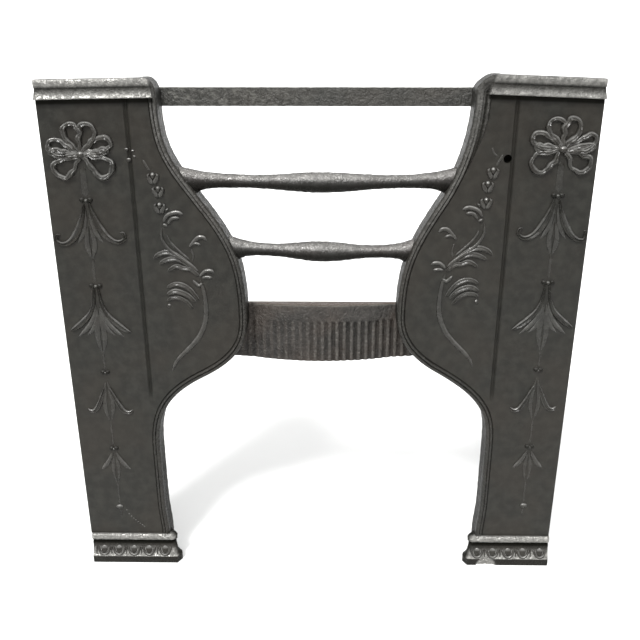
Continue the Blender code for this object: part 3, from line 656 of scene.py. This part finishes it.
def bow_forms(plate):
    """Each loop leaves the knot and returns: its length swings out as 1 - cos t, its width as sin t."""
    knot = np.array((plate["axis"], KNOT_HEIGHT + plate["lift"]))
    forms = [boss_form(plate, *knot, *KNOT_SIZE)]
    t = np.linspace(0.12 * np.pi, 1.88 * np.pi, 45)[:, None]
    for across, up, half_width in BOW_LOOPS:
        along = np.array((-across, up))
        length = np.hypot(*along)
        along = along / length
        aside = np.array((-along[1], along[0]))
        swing = half_width * 1.54 * np.sin(t) * (1 - np.cos(t)) / 2
        path = knot + along * length * (1 - np.cos(t)) / 2 + aside * swing
        wave = unevenness(path[:, :1], path[:, 1:], 0.0065, 17 if plate is LEFT else 19)
        path = path + aside * CRUMPLE * wave
        lumps = unevenness(path[:, 0], path[:, 1], 0.0055, 61)
        forms.append(ridge_form(
            plate, path, RIBBON_WIDTH * (1 + 0.3 * lumps), RIBBON_RELIEF * (1 + 0.5 * lumps[:, None]),
            ribbon_section, close=0.06))
    return forms


def carve(name, forms_on):
    """The same carving on both plates, each as its own piece."""
    for plate in PLATES:
        forms = forms_on(plate)
        cast(f"{plate['name']}_{name}", forms, carving_iron, None, CARVING_CREASE)


carve("bow", bow_forms)

# The husk drops below the bow.
# Four hang one under another on a thin stem: a node, two scrolled side petals, two inner leaves and a
# pointed centre leaf. The lower ones are smaller and more worn down.
UPPER_HUSK = 0.5705
FAN_HUSK = 0.4525
THIRD_HUSK = 0.323
LAST_HUSK = 0.199
LAST_BUD = 0.096
OUTER_MARGIN = 0.004


def hollow_section(v):
    """A petal with both edges raised, the inner one higher, and a hollow between them."""
    edges = hump(v, -0.62, 0.26) + 0.72 * hump(v, 0.62, 0.24)
    return np.clip(edges + 0.3 * half_round(v), 0, 1.1) * np.sqrt(np.clip(1 - v**4, 0, 1))


def husk_forms(plate):
    """Petals are given on the fire's side as (across, below the node) points and mirrored about the axis."""
    axis, lift = plate["axis"], plate["lift"]
    room = plate["outer"] - axis - OUTER_MARGIN
    forms = []

    def petal(node, points, widths, relief, section=half_round, spread=(1.0, 1.0), drop=0.0, **more):
        across, below = np.array(points, float).T
        toward_fire = np.column_stack((axis - across, node + lift - below))
        forms.append(ridge_form(plate, curve_through(toward_fire), widths, relief, section, **more))
        across = np.minimum(across * spread[0], room)
        outward = curve_through(np.column_stack((axis + across, node + lift - below * spread[1])))
        forms.append(ridge_form(
            plate, outward - (0, drop), widths, relief, lambda v: section(-v), **more))

    def stem(top, bottom, width, relief=0.0009):
        path = np.linspace((axis, top + lift), (axis, bottom + lift), 12)
        forms.append(ridge_form(plate, path, width, relief, close=0.04, wear=0.2))

    def knuckles(node, apart):
        for turn in (-1, 1):
            beside = axis + turn * apart
            # The side knuckles are painted dark as shade.
            forms.append(boss_form(plate, beside, node + lift, 0.0038, 0.0034, 0.0034, dark=0.7))
        forms.append(boss_form(plate, axis, node + lift - 0.0012, 0.003, 0.0026, 0.003, dark=0.2))

    stem(0.614, 0.575, (0.0085, 0.0098), 0.0011)
    knuckles(UPPER_HUSK, 0.0052)
    petal(UPPER_HUSK, (
        (0.0032, 0.002), (0.0062, 0.016), (0.0125, 0.033), (0.0215, 0.0475), (0.031, 0.055),
        (0.04, 0.056), (0.0465, 0.051), (0.045, 0.0445), (0.04, 0.044)),
        (0.0034, 0.0056, 0.0088, 0.0112, 0.0112, 0.0088, 0.0064, 0.0048, 0.0044),
        0.0042, hollow_section, (0.98, 1.0), 0.003, across=15, close=0.06)
    petal(UPPER_HUSK, (
        (0.0016, 0.01), (0.0042, 0.028), (0.0085, 0.044), (0.0165, 0.058)),
        (0.0024, 0.0054, 0.0076, 0.004), 0.0019, wear=0.6)
    petal(UPPER_HUSK, (
        (0.001, 0.034), (0.0044, 0.05), (0.0048, 0.062), (0.001, 0.08)),
        (0.003, 0.007, 0.008, 0.003), 0.002, wear=0.5)
    stem(0.491, 0.457, (0.0042, 0.0036))

    knuckles(FAN_HUSK, 0.0056)
    petal(FAN_HUSK, (
        (0.0026, 0.002), (0.0042, 0.016), (0.0066, 0.03), (0.013, 0.0435), (0.024, 0.0555),
        (0.0345, 0.064), (0.043, 0.069)),
        (0.003, 0.0042, 0.0056, 0.0078, 0.0098, 0.0092, 0.0036),
        0.0034, hollow_section, (0.98, 0.96), across=15, close=0.06)
    petal(FAN_HUSK, (
        (0.0028, 0.026), (0.007, 0.044), (0.016, 0.06), (0.032, 0.0755)),
        (0.003, 0.0064, 0.0076, 0.003), 0.0022, wear=0.8)
    petal(FAN_HUSK, (
        (0.0012, 0.03), (0.0046, 0.05), (0.0105, 0.064), (0.0195, 0.0735)),
        (0.003, 0.0064, 0.0072, 0.0026), 0.0015, wear=0.6)
    petal(FAN_HUSK, (
        (0.0005, 0.04), (0.0044, 0.064), (0.0044, 0.082), (0.0006, 0.101)),
        (0.0036, 0.0088, 0.0074, 0.0024), 0.0015, wear=0.4)
    stem(0.352, 0.328, (0.003, 0.003))

    knuckles(THIRD_HUSK, 0.003)
    petal(THIRD_HUSK, (
        (0.003, 0.024), (0.008, 0.036), (0.014, 0.05), (0.0215, 0.062), (0.029, 0.0645),
        (0.0345, 0.06)),
        (0.003, 0.0056, 0.0076, 0.0084, 0.0078, 0.0054),
        0.0032, hollow_section, (0.92, 0.97), across=13, close=0.08)
    petal(THIRD_HUSK, (
        (0.0008, 0.012), (0.005, 0.04), (0.0055, 0.058), (0.0008, 0.08)),
        (0.0026, 0.0068, 0.0066, 0.0024), 0.0015, wear=0.3)
    stem(0.243, 0.204, (0.003, 0.003))

    knuckles(LAST_HUSK, 0.0032)
    petal(LAST_HUSK, (
        (0.002, 0.006), (0.0065, 0.016), (0.013, 0.027), (0.0215, 0.0365)),
        (0.003, 0.0062, 0.0074, 0.0044), 0.0021, wear=0.6)
    petal(LAST_HUSK, (
        (0.0006, 0.01), (0.0038, 0.03), (0.0036, 0.046), (0.0006, 0.06)),
        (0.0026, 0.0058, 0.0046, 0.002), 0.0012, wear=0.3)
    stem(0.139, 0.101, (0.0028, 0.0026))
    forms.append(boss_form(plate, axis + 0.001, LAST_BUD + lift, 0.0056, 0.0042, 0.0024))
    stem(0.092, 0.078, (0.0026, 0.002))
    if plate is LEFT:
        for step in np.linspace(0, 1, 9):
            forms.append(boss_form(
                plate, 0.3 - 0.025 * step, 0.09 - 0.03 * step**0.7, 0.0012, 0.001, 0.0006))
    return forms


carve("husk_drops", husk_forms)

# The foliage of the cheeks, beside the fire.
# A spray of leaves climbs from a long curved tail: combs of arched lobes, small curls, a bending stem
# and three buds under a short stalk, all cast with the plate.
# The scar dots round the plugged hole: reach, height and size.
SCAR_DOTS = (
    (0.25, 0.6355, 0.0026), (0.242, 0.6335, 0.0024), (0.248, 0.6225, 0.003), (0.2405, 0.6265, 0.002),
)
# Each lobe: the points it runs through, as reach and height, and its width.
LOBES = (
    (((0.227, 0.4905), (0.22, 0.4968), (0.21, 0.4998), (0.2, 0.498), (0.19, 0.493),
      (0.179, 0.485)), 0.0058),
    (((0.22, 0.4835), (0.213, 0.4878), (0.205, 0.4905), (0.197, 0.4908), (0.188, 0.4875),
      (0.178, 0.4805)), 0.0058),
    (((0.209, 0.4735), (0.202, 0.4785), (0.195, 0.4808), (0.187, 0.4778), (0.178, 0.4765),
      (0.166, 0.467)), 0.0054),
    (((0.212, 0.4495), (0.205, 0.4538), (0.197, 0.4555), (0.187, 0.4525), (0.178, 0.4455),
      (0.168, 0.431)), 0.0056),
    (((0.213, 0.4395), (0.205, 0.444), (0.198, 0.4448), (0.188, 0.4415), (0.18, 0.4365),
      (0.173, 0.4285)), 0.0062),
    (((0.213, 0.4305), (0.207, 0.435), (0.196, 0.4355), (0.186, 0.43), (0.177, 0.42)), 0.0046),
)
# Each curl: its points, its width, and its share of the plate's curl lift.
CURLS = (
    (((0.21, 0.5405), (0.205, 0.549), (0.198, 0.553), (0.19, 0.5542), (0.183, 0.5515)), 0.005, 0.0),
    (((0.204, 0.5385), (0.199, 0.545), (0.194, 0.547), (0.188, 0.5462)), 0.0042, 0.0),
    (((0.178, 0.507), (0.172, 0.5135), (0.165, 0.5205), (0.158, 0.5208), (0.154, 0.5165)), 0.0046, 1.0),
    (((0.178, 0.5065), (0.172, 0.512), (0.166, 0.512), (0.162, 0.5098)), 0.0034, 1.0),
    (((0.166, 0.466), (0.162, 0.4705), (0.157, 0.4742), (0.15, 0.4745), (0.146, 0.4715)), 0.0044, 1.0),
    (((0.163, 0.464), (0.158, 0.4655), (0.154, 0.4653), (0.149, 0.4645)), 0.004, 1.0),
    (((0.176, 0.4615), (0.17, 0.455), (0.167, 0.4535), (0.162, 0.457)), 0.004, 0.0),
)
# Each stem: its points, its widths from end to end, and its relief.
STEMS = (
    (((0.213, 0.533), (0.2135, 0.52), (0.208, 0.508), (0.2, 0.4995), (0.19, 0.4915),
      (0.179, 0.4835), (0.168, 0.4735)),
     (0.003, 0.0044, 0.005, 0.0054, 0.006, 0.0064), 0.0024),
    (((0.2065, 0.524), (0.202, 0.514), (0.194, 0.5045), (0.186, 0.4965), (0.178, 0.4895)),
     (0.0022, 0.0034, 0.004, 0.0034), 0.002),
    (((0.1755, 0.505), (0.173, 0.496), (0.1745, 0.487)), (0.0028, 0.003, 0.003), 0.0014),
    (((0.166, 0.464), (0.1625, 0.45), (0.1605, 0.435), (0.16, 0.42), (0.161, 0.406),
      (0.165, 0.392), (0.172, 0.378), (0.182, 0.3655), (0.193, 0.3545), (0.203, 0.344),
      (0.209, 0.335), (0.213, 0.324)),
     (0.004, 0.0054, 0.0064, 0.007, 0.0074, 0.0076, 0.0076, 0.0072, 0.0064, 0.005, 0.0026), 0.0023),
    (((0.23, 0.6225), (0.2265, 0.616), (0.2225, 0.6085)), (0.003, 0.0036, 0.003), 0.0015),
)
BUDS = ((0.219, 0.6), (0.2135, 0.5825), (0.213, 0.561))
# Each berry: reach, height, half its width, half its height, relief and turn.
BERRIES = (
    (0.208, 0.537, 0.0036, 0.0024, 0.0028, 0.5),
    (0.204, 0.5575, 0.003, 0.0018, 0.0022, -0.5),
    (0.2105, 0.424, 0.0022, 0.003, 0.002, 0.3),
)


def lobe_section(v):
    """A lobe whose crest lies along its upper edge, with a hollow below it."""
    edges = 0.8 * hump(v, 0.45, 0.36) + 0.3 * hump(v, -0.75, 0.25)
    return np.clip(0.3 + edges, 0, 1.05) * np.sqrt(np.clip(1 - v**6, 0, 1))


def foliage_forms(plate):
    """Lobes and curls are ridges through a few points; a bud is two small petals over a pointed tip."""
    lift = np.array((0.0, plate["lift"]))
    forms = []
    for points, width in LOBES:
        path = curve_through(points) + lift
        widths = 1.25 * width * np.array((0.7, 1.0, 1.15, 1.1, 0.9, 0.7))
        forms.append(ridge_form(plate, path, widths, 0.0034, lobe_section, close=0.1))
    for points, width, moved in CURLS:
        path = curve_through(points) + lift + (0.0, plate["curl_lift"] * moved)
        widths = 1.2 * width * np.array((0.7, 1.0, 1.1, 0.9))
        forms.append(ridge_form(plate, path, widths, 0.0032, close=0.14))
    for points, widths, relief in STEMS:
        forms.append(ridge_form(plate, curve_through(points) + lift, widths, relief, close=0.08, wear=0.7))
    for reach, height in BUDS:
        at = height + lift[1]
        for turn in (-1, 1):
            path = curve_through((
                (reach + turn * 0.0006, at - 0.009), (reach + turn * 0.004, at - 0.003),
                (reach + turn * 0.006, at + 0.002), (reach + turn * 0.004, at + 0.005)))
            forms.append(ridge_form(plate, path, (0.0036, 0.0066, 0.0056, 0.0036), 0.004, close=0.2))
        forms.append(boss_form(plate, reach, at + 0.002, 0.0032, 0.0046, 0.0036))
    for reach, height, *size in BERRIES:
        forms.append(boss_form(plate, reach, height + lift[1], *size))
    if plate is LEFT:
        for reach, height, size in SCAR_DOTS:
            forms.append(boss_form(plate, reach, height, size, size * 0.8, 0.0014))
    else:
        twig = curve_through(((0.215, 0.639), (0.219, 0.631), (0.223, 0.6285)))
        forms.append(ridge_form(plate, twig, 0.0026, 0.0009))
    return forms


carve("foliage", foliage_forms)

# The leaves on the moulded feet.
# A row of five rounded tongues with raised borders and small darts between them, cast in the ovolo
# of each foot.
FOOT_LEAVES = {
    "left": (0.34, 0.3167, 0.2934, 0.27, 0.245),
    "right": (0.3373, 0.3113, 0.2886, 0.2645, 0.2405),
}
HOLLOW_LOW, HOLLOW_HIGH = 0.0126, 0.032
TONGUE_HALF_WIDTH = 0.0088
TONGUE_TOP = 0.0248
TONGUE_DROP = 0.0112
TONGUE_BOSS_HEIGHT = 0.0215
DART_REACH = 0.0119
DART_TOP, DART_BOTTOM = 0.0265, 0.0135
DART_ROOM = 0.0145


def foot_leaf_forms(plate):
    """A tongue is a half ellipse drawn as a ridge around a boss, and a dart is a short upright ridge."""
    def base(reach, height):
        return foot_height(np.clip(height, HOLLOW_LOW, HOLLOW_HIGH))

    forms = []
    t = np.linspace(np.pi * 0.97, np.pi * 2.03, 17)
    for centre in FOOT_LEAVES[plate["name"]]:
        border = np.column_stack((
            centre + TONGUE_HALF_WIDTH * np.cos(t), TONGUE_TOP + TONGUE_DROP * np.sin(t)))
        forms.append(ridge_form(plate, border, 0.0038, 0.0027, across=9, base=base, close=0.08))
        forms.append(boss_form(plate, centre, TONGUE_BOSS_HEIGHT, 0.005, 0.006, 0.0013, base=base))
        dart = np.linspace((centre + DART_REACH, DART_TOP), (centre + DART_REACH, DART_BOTTOM), 9)
        if centre + DART_ROOM < plate["foot_end"]:
            forms.append(ridge_form(plate, dart, (0.003, 0.0018), 0.0014, across=7, base=base))
    return forms


carve("foot_leaves", foot_leaf_forms)

# The flat top bar.
# A plain bar of about one inch by three eighths, lapped behind the two flanges. Its face is pitted
# and its edges are rounded by wear.
TOP_BAR_ARRIS = 0.0012
TOP_BAR_DIP = 0.00018
top_low, top_high = (np.array(corner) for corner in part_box("top_bar"))
bar_iron = black_leaded_iron(
    "pitted_flat_bar", (0.015, 0.015, 0.013), (0.032, 0.031, 0.028), (0.04, 0.032, 0.025),
    (0.19, 0.185, 0.165), roughness=0.38, pit_depth=0.0012, shine=0.4)


def flat_bar_form():
    """A rounded rectangle carried along the bar, its surface a little uneven."""
    stations = np.linspace(top_low[0], top_high[0], 300)
    middle, half = (top_low + top_high)[1:] / 2, (top_high - top_low)[1:] / 2
    turn = np.linspace(0, 2 * np.pi, 65)[:-1]
    square = np.maximum(np.abs(np.cos(turn)) / half[0], np.abs(np.sin(turn)) / half[1])
    y, z = np.cos(turn) / square, np.sin(turn) / square
    core = half - TOP_BAR_ARRIS
    nearest = np.stack((np.clip(y, -core[0], core[0]), np.clip(z, -core[1], core[1])))
    out = np.stack((y, z)) - nearest
    y, z = nearest + out / np.linalg.norm(out, axis=0) * TOP_BAR_ARRIS
    along, z_grid = np.broadcast_arrays(stations[:, None], z[None, :])
    dip = TOP_BAR_DIP * (1 + unevenness(along, z_grid + 0.03 * np.sign(y), 0.003, 31))
    scale = 1 - dip / half[0] * (np.abs(y) > half[0] * 0.9)
    grid = np.stack((along, middle[0] + y * scale, middle[1] + z_grid * (1 - dip / half[1])), axis=-1)
    light = ease(-along, -0.05, 0.2) * ease(unevenness(along, z_grid, 0.006, 33), -0.2, 0.6)
    return ring_form(grid, 0.1 + 0.35 * light, 1.0)


cast("flat_top_bar", [flat_bar_form()], bar_iron, "top_bar")

# The two swelled bars.
# Round bars that swell in the middle, thin to a neck on each side and flare where they meet the
# flanges. They bow forward a little, and pokers and pots have worn and pitted them; a painted highlight
# runs along the upper front, with painted shade underneath and along the top, and rust on top.
BAR_BOW = 0.0105
BAR_DEPTH_LIMIT = 0.0134
BAR_BURY = 0.0008
BAR_ROUGHNESS = 0.00034
# Each bar: its height, its radii at the middle, the neck and the end, the neck's reach, its sag and tilt.
BARS = (
    ("upper_bar", 0.5952, (0.0136, 0.009, 0.0178), 0.096, 0.0018, 0.0),
    ("lower_bar", 0.5015, (0.014, 0.0089, 0.0172), 0.07, 0.0006, -0.015),
)
worn_iron = black_leaded_iron(
    "worn_bar", (0.022, 0.021, 0.019), (0.04, 0.038, 0.036), (0.038, 0.025, 0.022),
    (0.36, 0.35, 0.33), roughness=0.27, pit_depth=0.0006, polish=0.15)


def swelled_bar_form(level, radii, neck, sag, tilt):
    """Rings along the bar: the radius is a raised cosine out to the neck, then grows to the flange."""
    middle, thin, end = radii
    left_line, right_line = edge_line(LEFT), edge_line(RIGHT)
    share = np.sin(np.linspace(-np.pi / 2, np.pi / 2, 260))[:, None]
    side = np.where(share < 0, -1, 1)
    turn = np.linspace(0, 2 * np.pi, 49)[None, :-1]

    def edge_reach(at):
        return np.where(side < 0, reach_at(left_line, at), reach_at(right_line, at))

    reach = edge_reach(level)
    x = np.abs(share) * reach
    swell = thin + (middle - thin) * np.cos(np.pi / 2 * np.clip(x / neck, 0, 1)) ** 2
    out = np.clip((x - neck) / (reach - neck), 0, 1)
    flare = thin + (end - thin) * (0.45 * out**2 + 0.55 * out**5)
    radius = np.where(x < neck, swell, flare)
    along, around = share * reach, radius * turn
    rough = unevenness(along, around, 0.0045, 41) + 0.6 * unevenness(along, around, 0.002, 43)
    radius = radius - BAR_ROUGHNESS * (1 + rough)
    height = level + radius * np.sin(turn) - sag * (1 - share**2) + tilt * side * x
    depth = FLANGE_DEPTH / 2 - BAR_BOW * (1 - share**2) + np.minimum(radius, BAR_DEPTH_LIMIT) * np.cos(turn)
    x = x + (edge_reach(height) - reach + BAR_BURY) * np.abs(share) ** 6
    grid = np.stack(np.broadcast_arrays(CENTRE + side * x, FACE + depth, height), axis=-1)
    patchy = 0.75 + 0.25 * unevenness(along, 0.02 * turn, 0.035, 47)
    # A painted highlight band along the upper front, patchy like wear.
    wear_and_highlight = patchy * (0.02 + 0.42 * ease(np.cos(turn - 2.3), 0.78, 1.0))
    # Painted shade over the lower half and along the top.
    shade_under_and_over = 0.92 * ease(-np.sin(turn), -0.55, 0.3) + 0.55 * ease(np.cos(turn - 1.15), 0.62, 0.95)
    scaled = 0.8 * ease(np.cos(turn - 1.35), 0.8, 1.0)
    return ring_form(grid, wear_and_highlight, 1.0, shade_under_and_over, scaled)


for node, *form in BARS:
    cast(f"worn_{node}", [swelled_bar_form(*form)], worn_iron, node, 60)

# The reeded apron.
# A bowed plate that closes the fire's front at the bottom: a plain band, a row of upright reeds and,
# on top, a flat ledge with a straight back. It is rough from the fire and rusts along the ledge.
APRON_TOP = 0.4185
APRON_BAND = 0.0235
APRON_THICKNESS = 0.007
APRON_LEDGE = 0.006
APRON_BOW = 0.01
APRON_BOW_REACH = 0.1
APRON_HALF_LENGTH = 0.146
APRON_DEPTH_AT_ENDS = 0.0795
APRON_SAG = 0.006
APRON_ARRIS = 0.0008
APRON_ROUGHNESS = 0.00032
REED_PITCH = 0.0104
REED_DEPTH = 0.0022
LAP_GAP = 0.0003
fire_iron = black_leaded_iron(
    "fire_scaled_apron", (0.018, 0.016, 0.014), (0.031, 0.028, 0.025), (0.065, 0.045, 0.033),
    (0.19, 0.18, 0.16), roughness=0.4, pit_depth=0.0012, shine=0.35)


def apron_form():
    """Rings across the apron: up the reeded face and the band, back over the ledge, and down the inside."""
    x = np.linspace(-APRON_HALF_LENGTH, APRON_HALF_LENGTH, 460)[:, None]
    bow = APRON_BOW * np.maximum(0.0, 1 - (x / APRON_BOW_REACH) ** 2)
    front = FLANGE_DEPTH + LAP_GAP - bow
    back = FLANGE_DEPTH + LAP_GAP + APRON_THICKNESS
    bottom = APRON_TOP - APRON_DEPTH_AT_ENDS - APRON_SAG * (1 - (x / APRON_HALF_LENGTH) ** 2)
    band = APRON_TOP - APRON_BAND
    up = np.linspace(0, 1, 44)[None, :]
    face_height = bottom + (APRON_TOP - APRON_ARRIS - bottom) * up
    to_right = ease(x, -0.05, 0.04)
    reeds = REED_DEPTH * (1 - np.abs(np.sin(np.pi * (x / REED_PITCH - 0.5))) ** 1.3)
    below = 1 - ease(face_height, band - 0.0022, band - 0.0004)
    pits = unevenness(x, face_height, 0.004, 51) + 0.7 * unevenness(x, face_height, 0.002, 53)
    face = front + reeds * below * (0.35 + 0.65 * to_right) + APRON_ROUGHNESS * (1 + pits)
    ledge_depth = front + (back - front) * np.array((0.03, 0.12, 0.5, 1.0))
    ledge_height = APRON_TOP - np.array((0.00036, 0.0, 0.0, 0.0)) + 0 * x
    under_ledge = np.full_like(x, APRON_TOP - APRON_LEDGE)
    inside = front + APRON_THICKNESS
    behind_reeds = bottom + (band - bottom) * 0.6
    height = np.hstack((
        face_height, ledge_height, under_ledge, under_ledge - 0.0015, behind_reeds, bottom))
    depth = np.hstack((face, ledge_depth, np.full_like(x, back), inside, inside, inside))
    grid = np.stack(np.broadcast_arrays(CENTRE + x, FACE + depth, height), axis=-1)
    crest = 1 - ease(reeds / REED_DEPTH, 0.05, 0.45)
    specks = ease(unevenness(x, face_height, 0.0016, 57), 0.15, 0.75)
    wear_and_highlight = (0.04 + 0.12 * to_right) * crest * below + 0.04 * (1 - below)
    wear_and_highlight = wear_and_highlight + specks * (0.28 * crest * below + 0.12 * (1 - below))
    # A bright band along the upper edge, partly wear and partly a painted highlight.
    wear_and_highlight = np.maximum(wear_and_highlight, 0.7 * ease(face_height, APRON_TOP - 0.0035, APRON_TOP - 0.001))
    # Painted shade in the grooves between the reeds, stronger to the right, and on the inside.
    painted_shade = (1 - crest) * below * (0.1 + 0.3 * to_right)
    rusty = 0.12 * (1 - to_right) * below * crest

    def with_back(on_face, on_ledge, on_inside):
        flat = np.repeat((on_ledge, on_inside), 4)
        return np.hstack((on_face, np.broadcast_to(flat, (len(x), 8))))

    return ring_form(
        grid, with_back(wear_and_highlight, 0.0, 0.0), 1.0, with_back(painted_shade, 0.0, 0.8), with_back(rusty, 0.9, 0.0))


cast("reeded_apron", [apron_form()], fire_iron, "apron", 35)

# The floor, the light and the camera.
# A pale floor that curves up into a wall, under two broad lamps, one in front and one overhead, and an
# even pale sky. The camera stands where the photograph was taken from, a little above the cornice.
CAMERA_REACH = 0.0112
CAMERA_DISTANCE = 0.9735
CAMERA_HEIGHT = 0.7759
CAMERA_PITCH = 21.0
CAMERA_TURN = 0.718
CAMERA_LENS = 42.41
CAMERA_SHIFT = -0.0023
CAMERA_RAISE = 0.0017
SKY = 0.2
SKY_COLOUR = (0.95, 0.98, 1.0, 1.0)
# Each lamp: its name, strength, spread, height above the horizon and turn, the last three in degrees.
LAMPS = (("softbox", 4.0, 12.0, 50.0, -24.0), ("overhead", 3.4, 80.0, 66.0, 5.0))
FLOOR_REACH = 9.0
FLOOR_COLOUR = (0.72, 0.72, 0.715, 1.0)
WALL_HEIGHT = 6.0
SWEEP_START = 2.6
SWEEP_RADIUS = 1.6

floor_paint = bpy.data.materials.new("pale_floor")
floor_paint.use_nodes = True
floor_paint.node_tree.nodes["Principled BSDF"].inputs["Base Color"].default_value = FLOOR_COLOUR
floor_paint.node_tree.nodes["Principled BSDF"].inputs["Roughness"].default_value = 0.9
turn = np.linspace(0, np.pi / 2, 17)
wall = SWEEP_START + SWEEP_RADIUS
run = np.concatenate(((-FLOOR_REACH,), SWEEP_START + SWEEP_RADIUS * np.sin(turn), (wall,)))
rise = np.concatenate(((0.0,), SWEEP_RADIUS * (1 - np.cos(turn)), (WALL_HEIGHT,)))
sides = np.array((-FLOOR_REACH, FLOOR_REACH))[:, None]
sweep = np.stack(np.broadcast_arrays(sides, run, rise), axis=-1)
strips = len(run) - 1
floor_mesh = bpy.data.meshes.new("floor")
floor_mesh.from_pydata(
    sweep.reshape(-1, 3).tolist(), [],
    [(i, i + strips + 1, i + strips + 2, i + 1) for i in range(strips)])
floor_mesh.materials.append(floor_paint)
floor_mesh.shade_smooth()
floor = bpy.data.objects.new("floor", floor_mesh)
bpy.context.scene.collection.objects.link(floor)

world = bpy.data.worlds.new("pale_room")
world.use_nodes = True
world.node_tree.nodes["Background"].inputs["Color"].default_value = SKY_COLOUR
world.node_tree.nodes["Background"].inputs["Strength"].default_value = SKY
bpy.context.scene.world = world

for name, strength, spread, climb, turned in LAMPS:
    light = bpy.data.lights.new(name, "SUN")
    light.energy = strength
    light.angle = np.radians(spread)
    lamp = bpy.data.objects.new(name, light)
    lamp.rotation_euler = (np.radians(90 - climb), 0.0, np.radians(turned))
    bpy.context.scene.collection.objects.link(lamp)

camera_data = bpy.data.cameras.new("camera")
camera_data.lens = CAMERA_LENS
camera_data.shift_x = CAMERA_SHIFT
camera_data.shift_y = CAMERA_RAISE
camera = bpy.data.objects.new("camera", camera_data)
camera.location = (CENTRE + CAMERA_REACH, FACE - CAMERA_DISTANCE, CAMERA_HEIGHT)
camera.rotation_euler = (np.radians(90 - CAMERA_PITCH), 0.0, np.radians(CAMERA_TURN))
bpy.context.scene.collection.objects.link(camera)
bpy.context.scene.camera = camera
bpy.context.scene.view_settings.view_transform = "Standard"
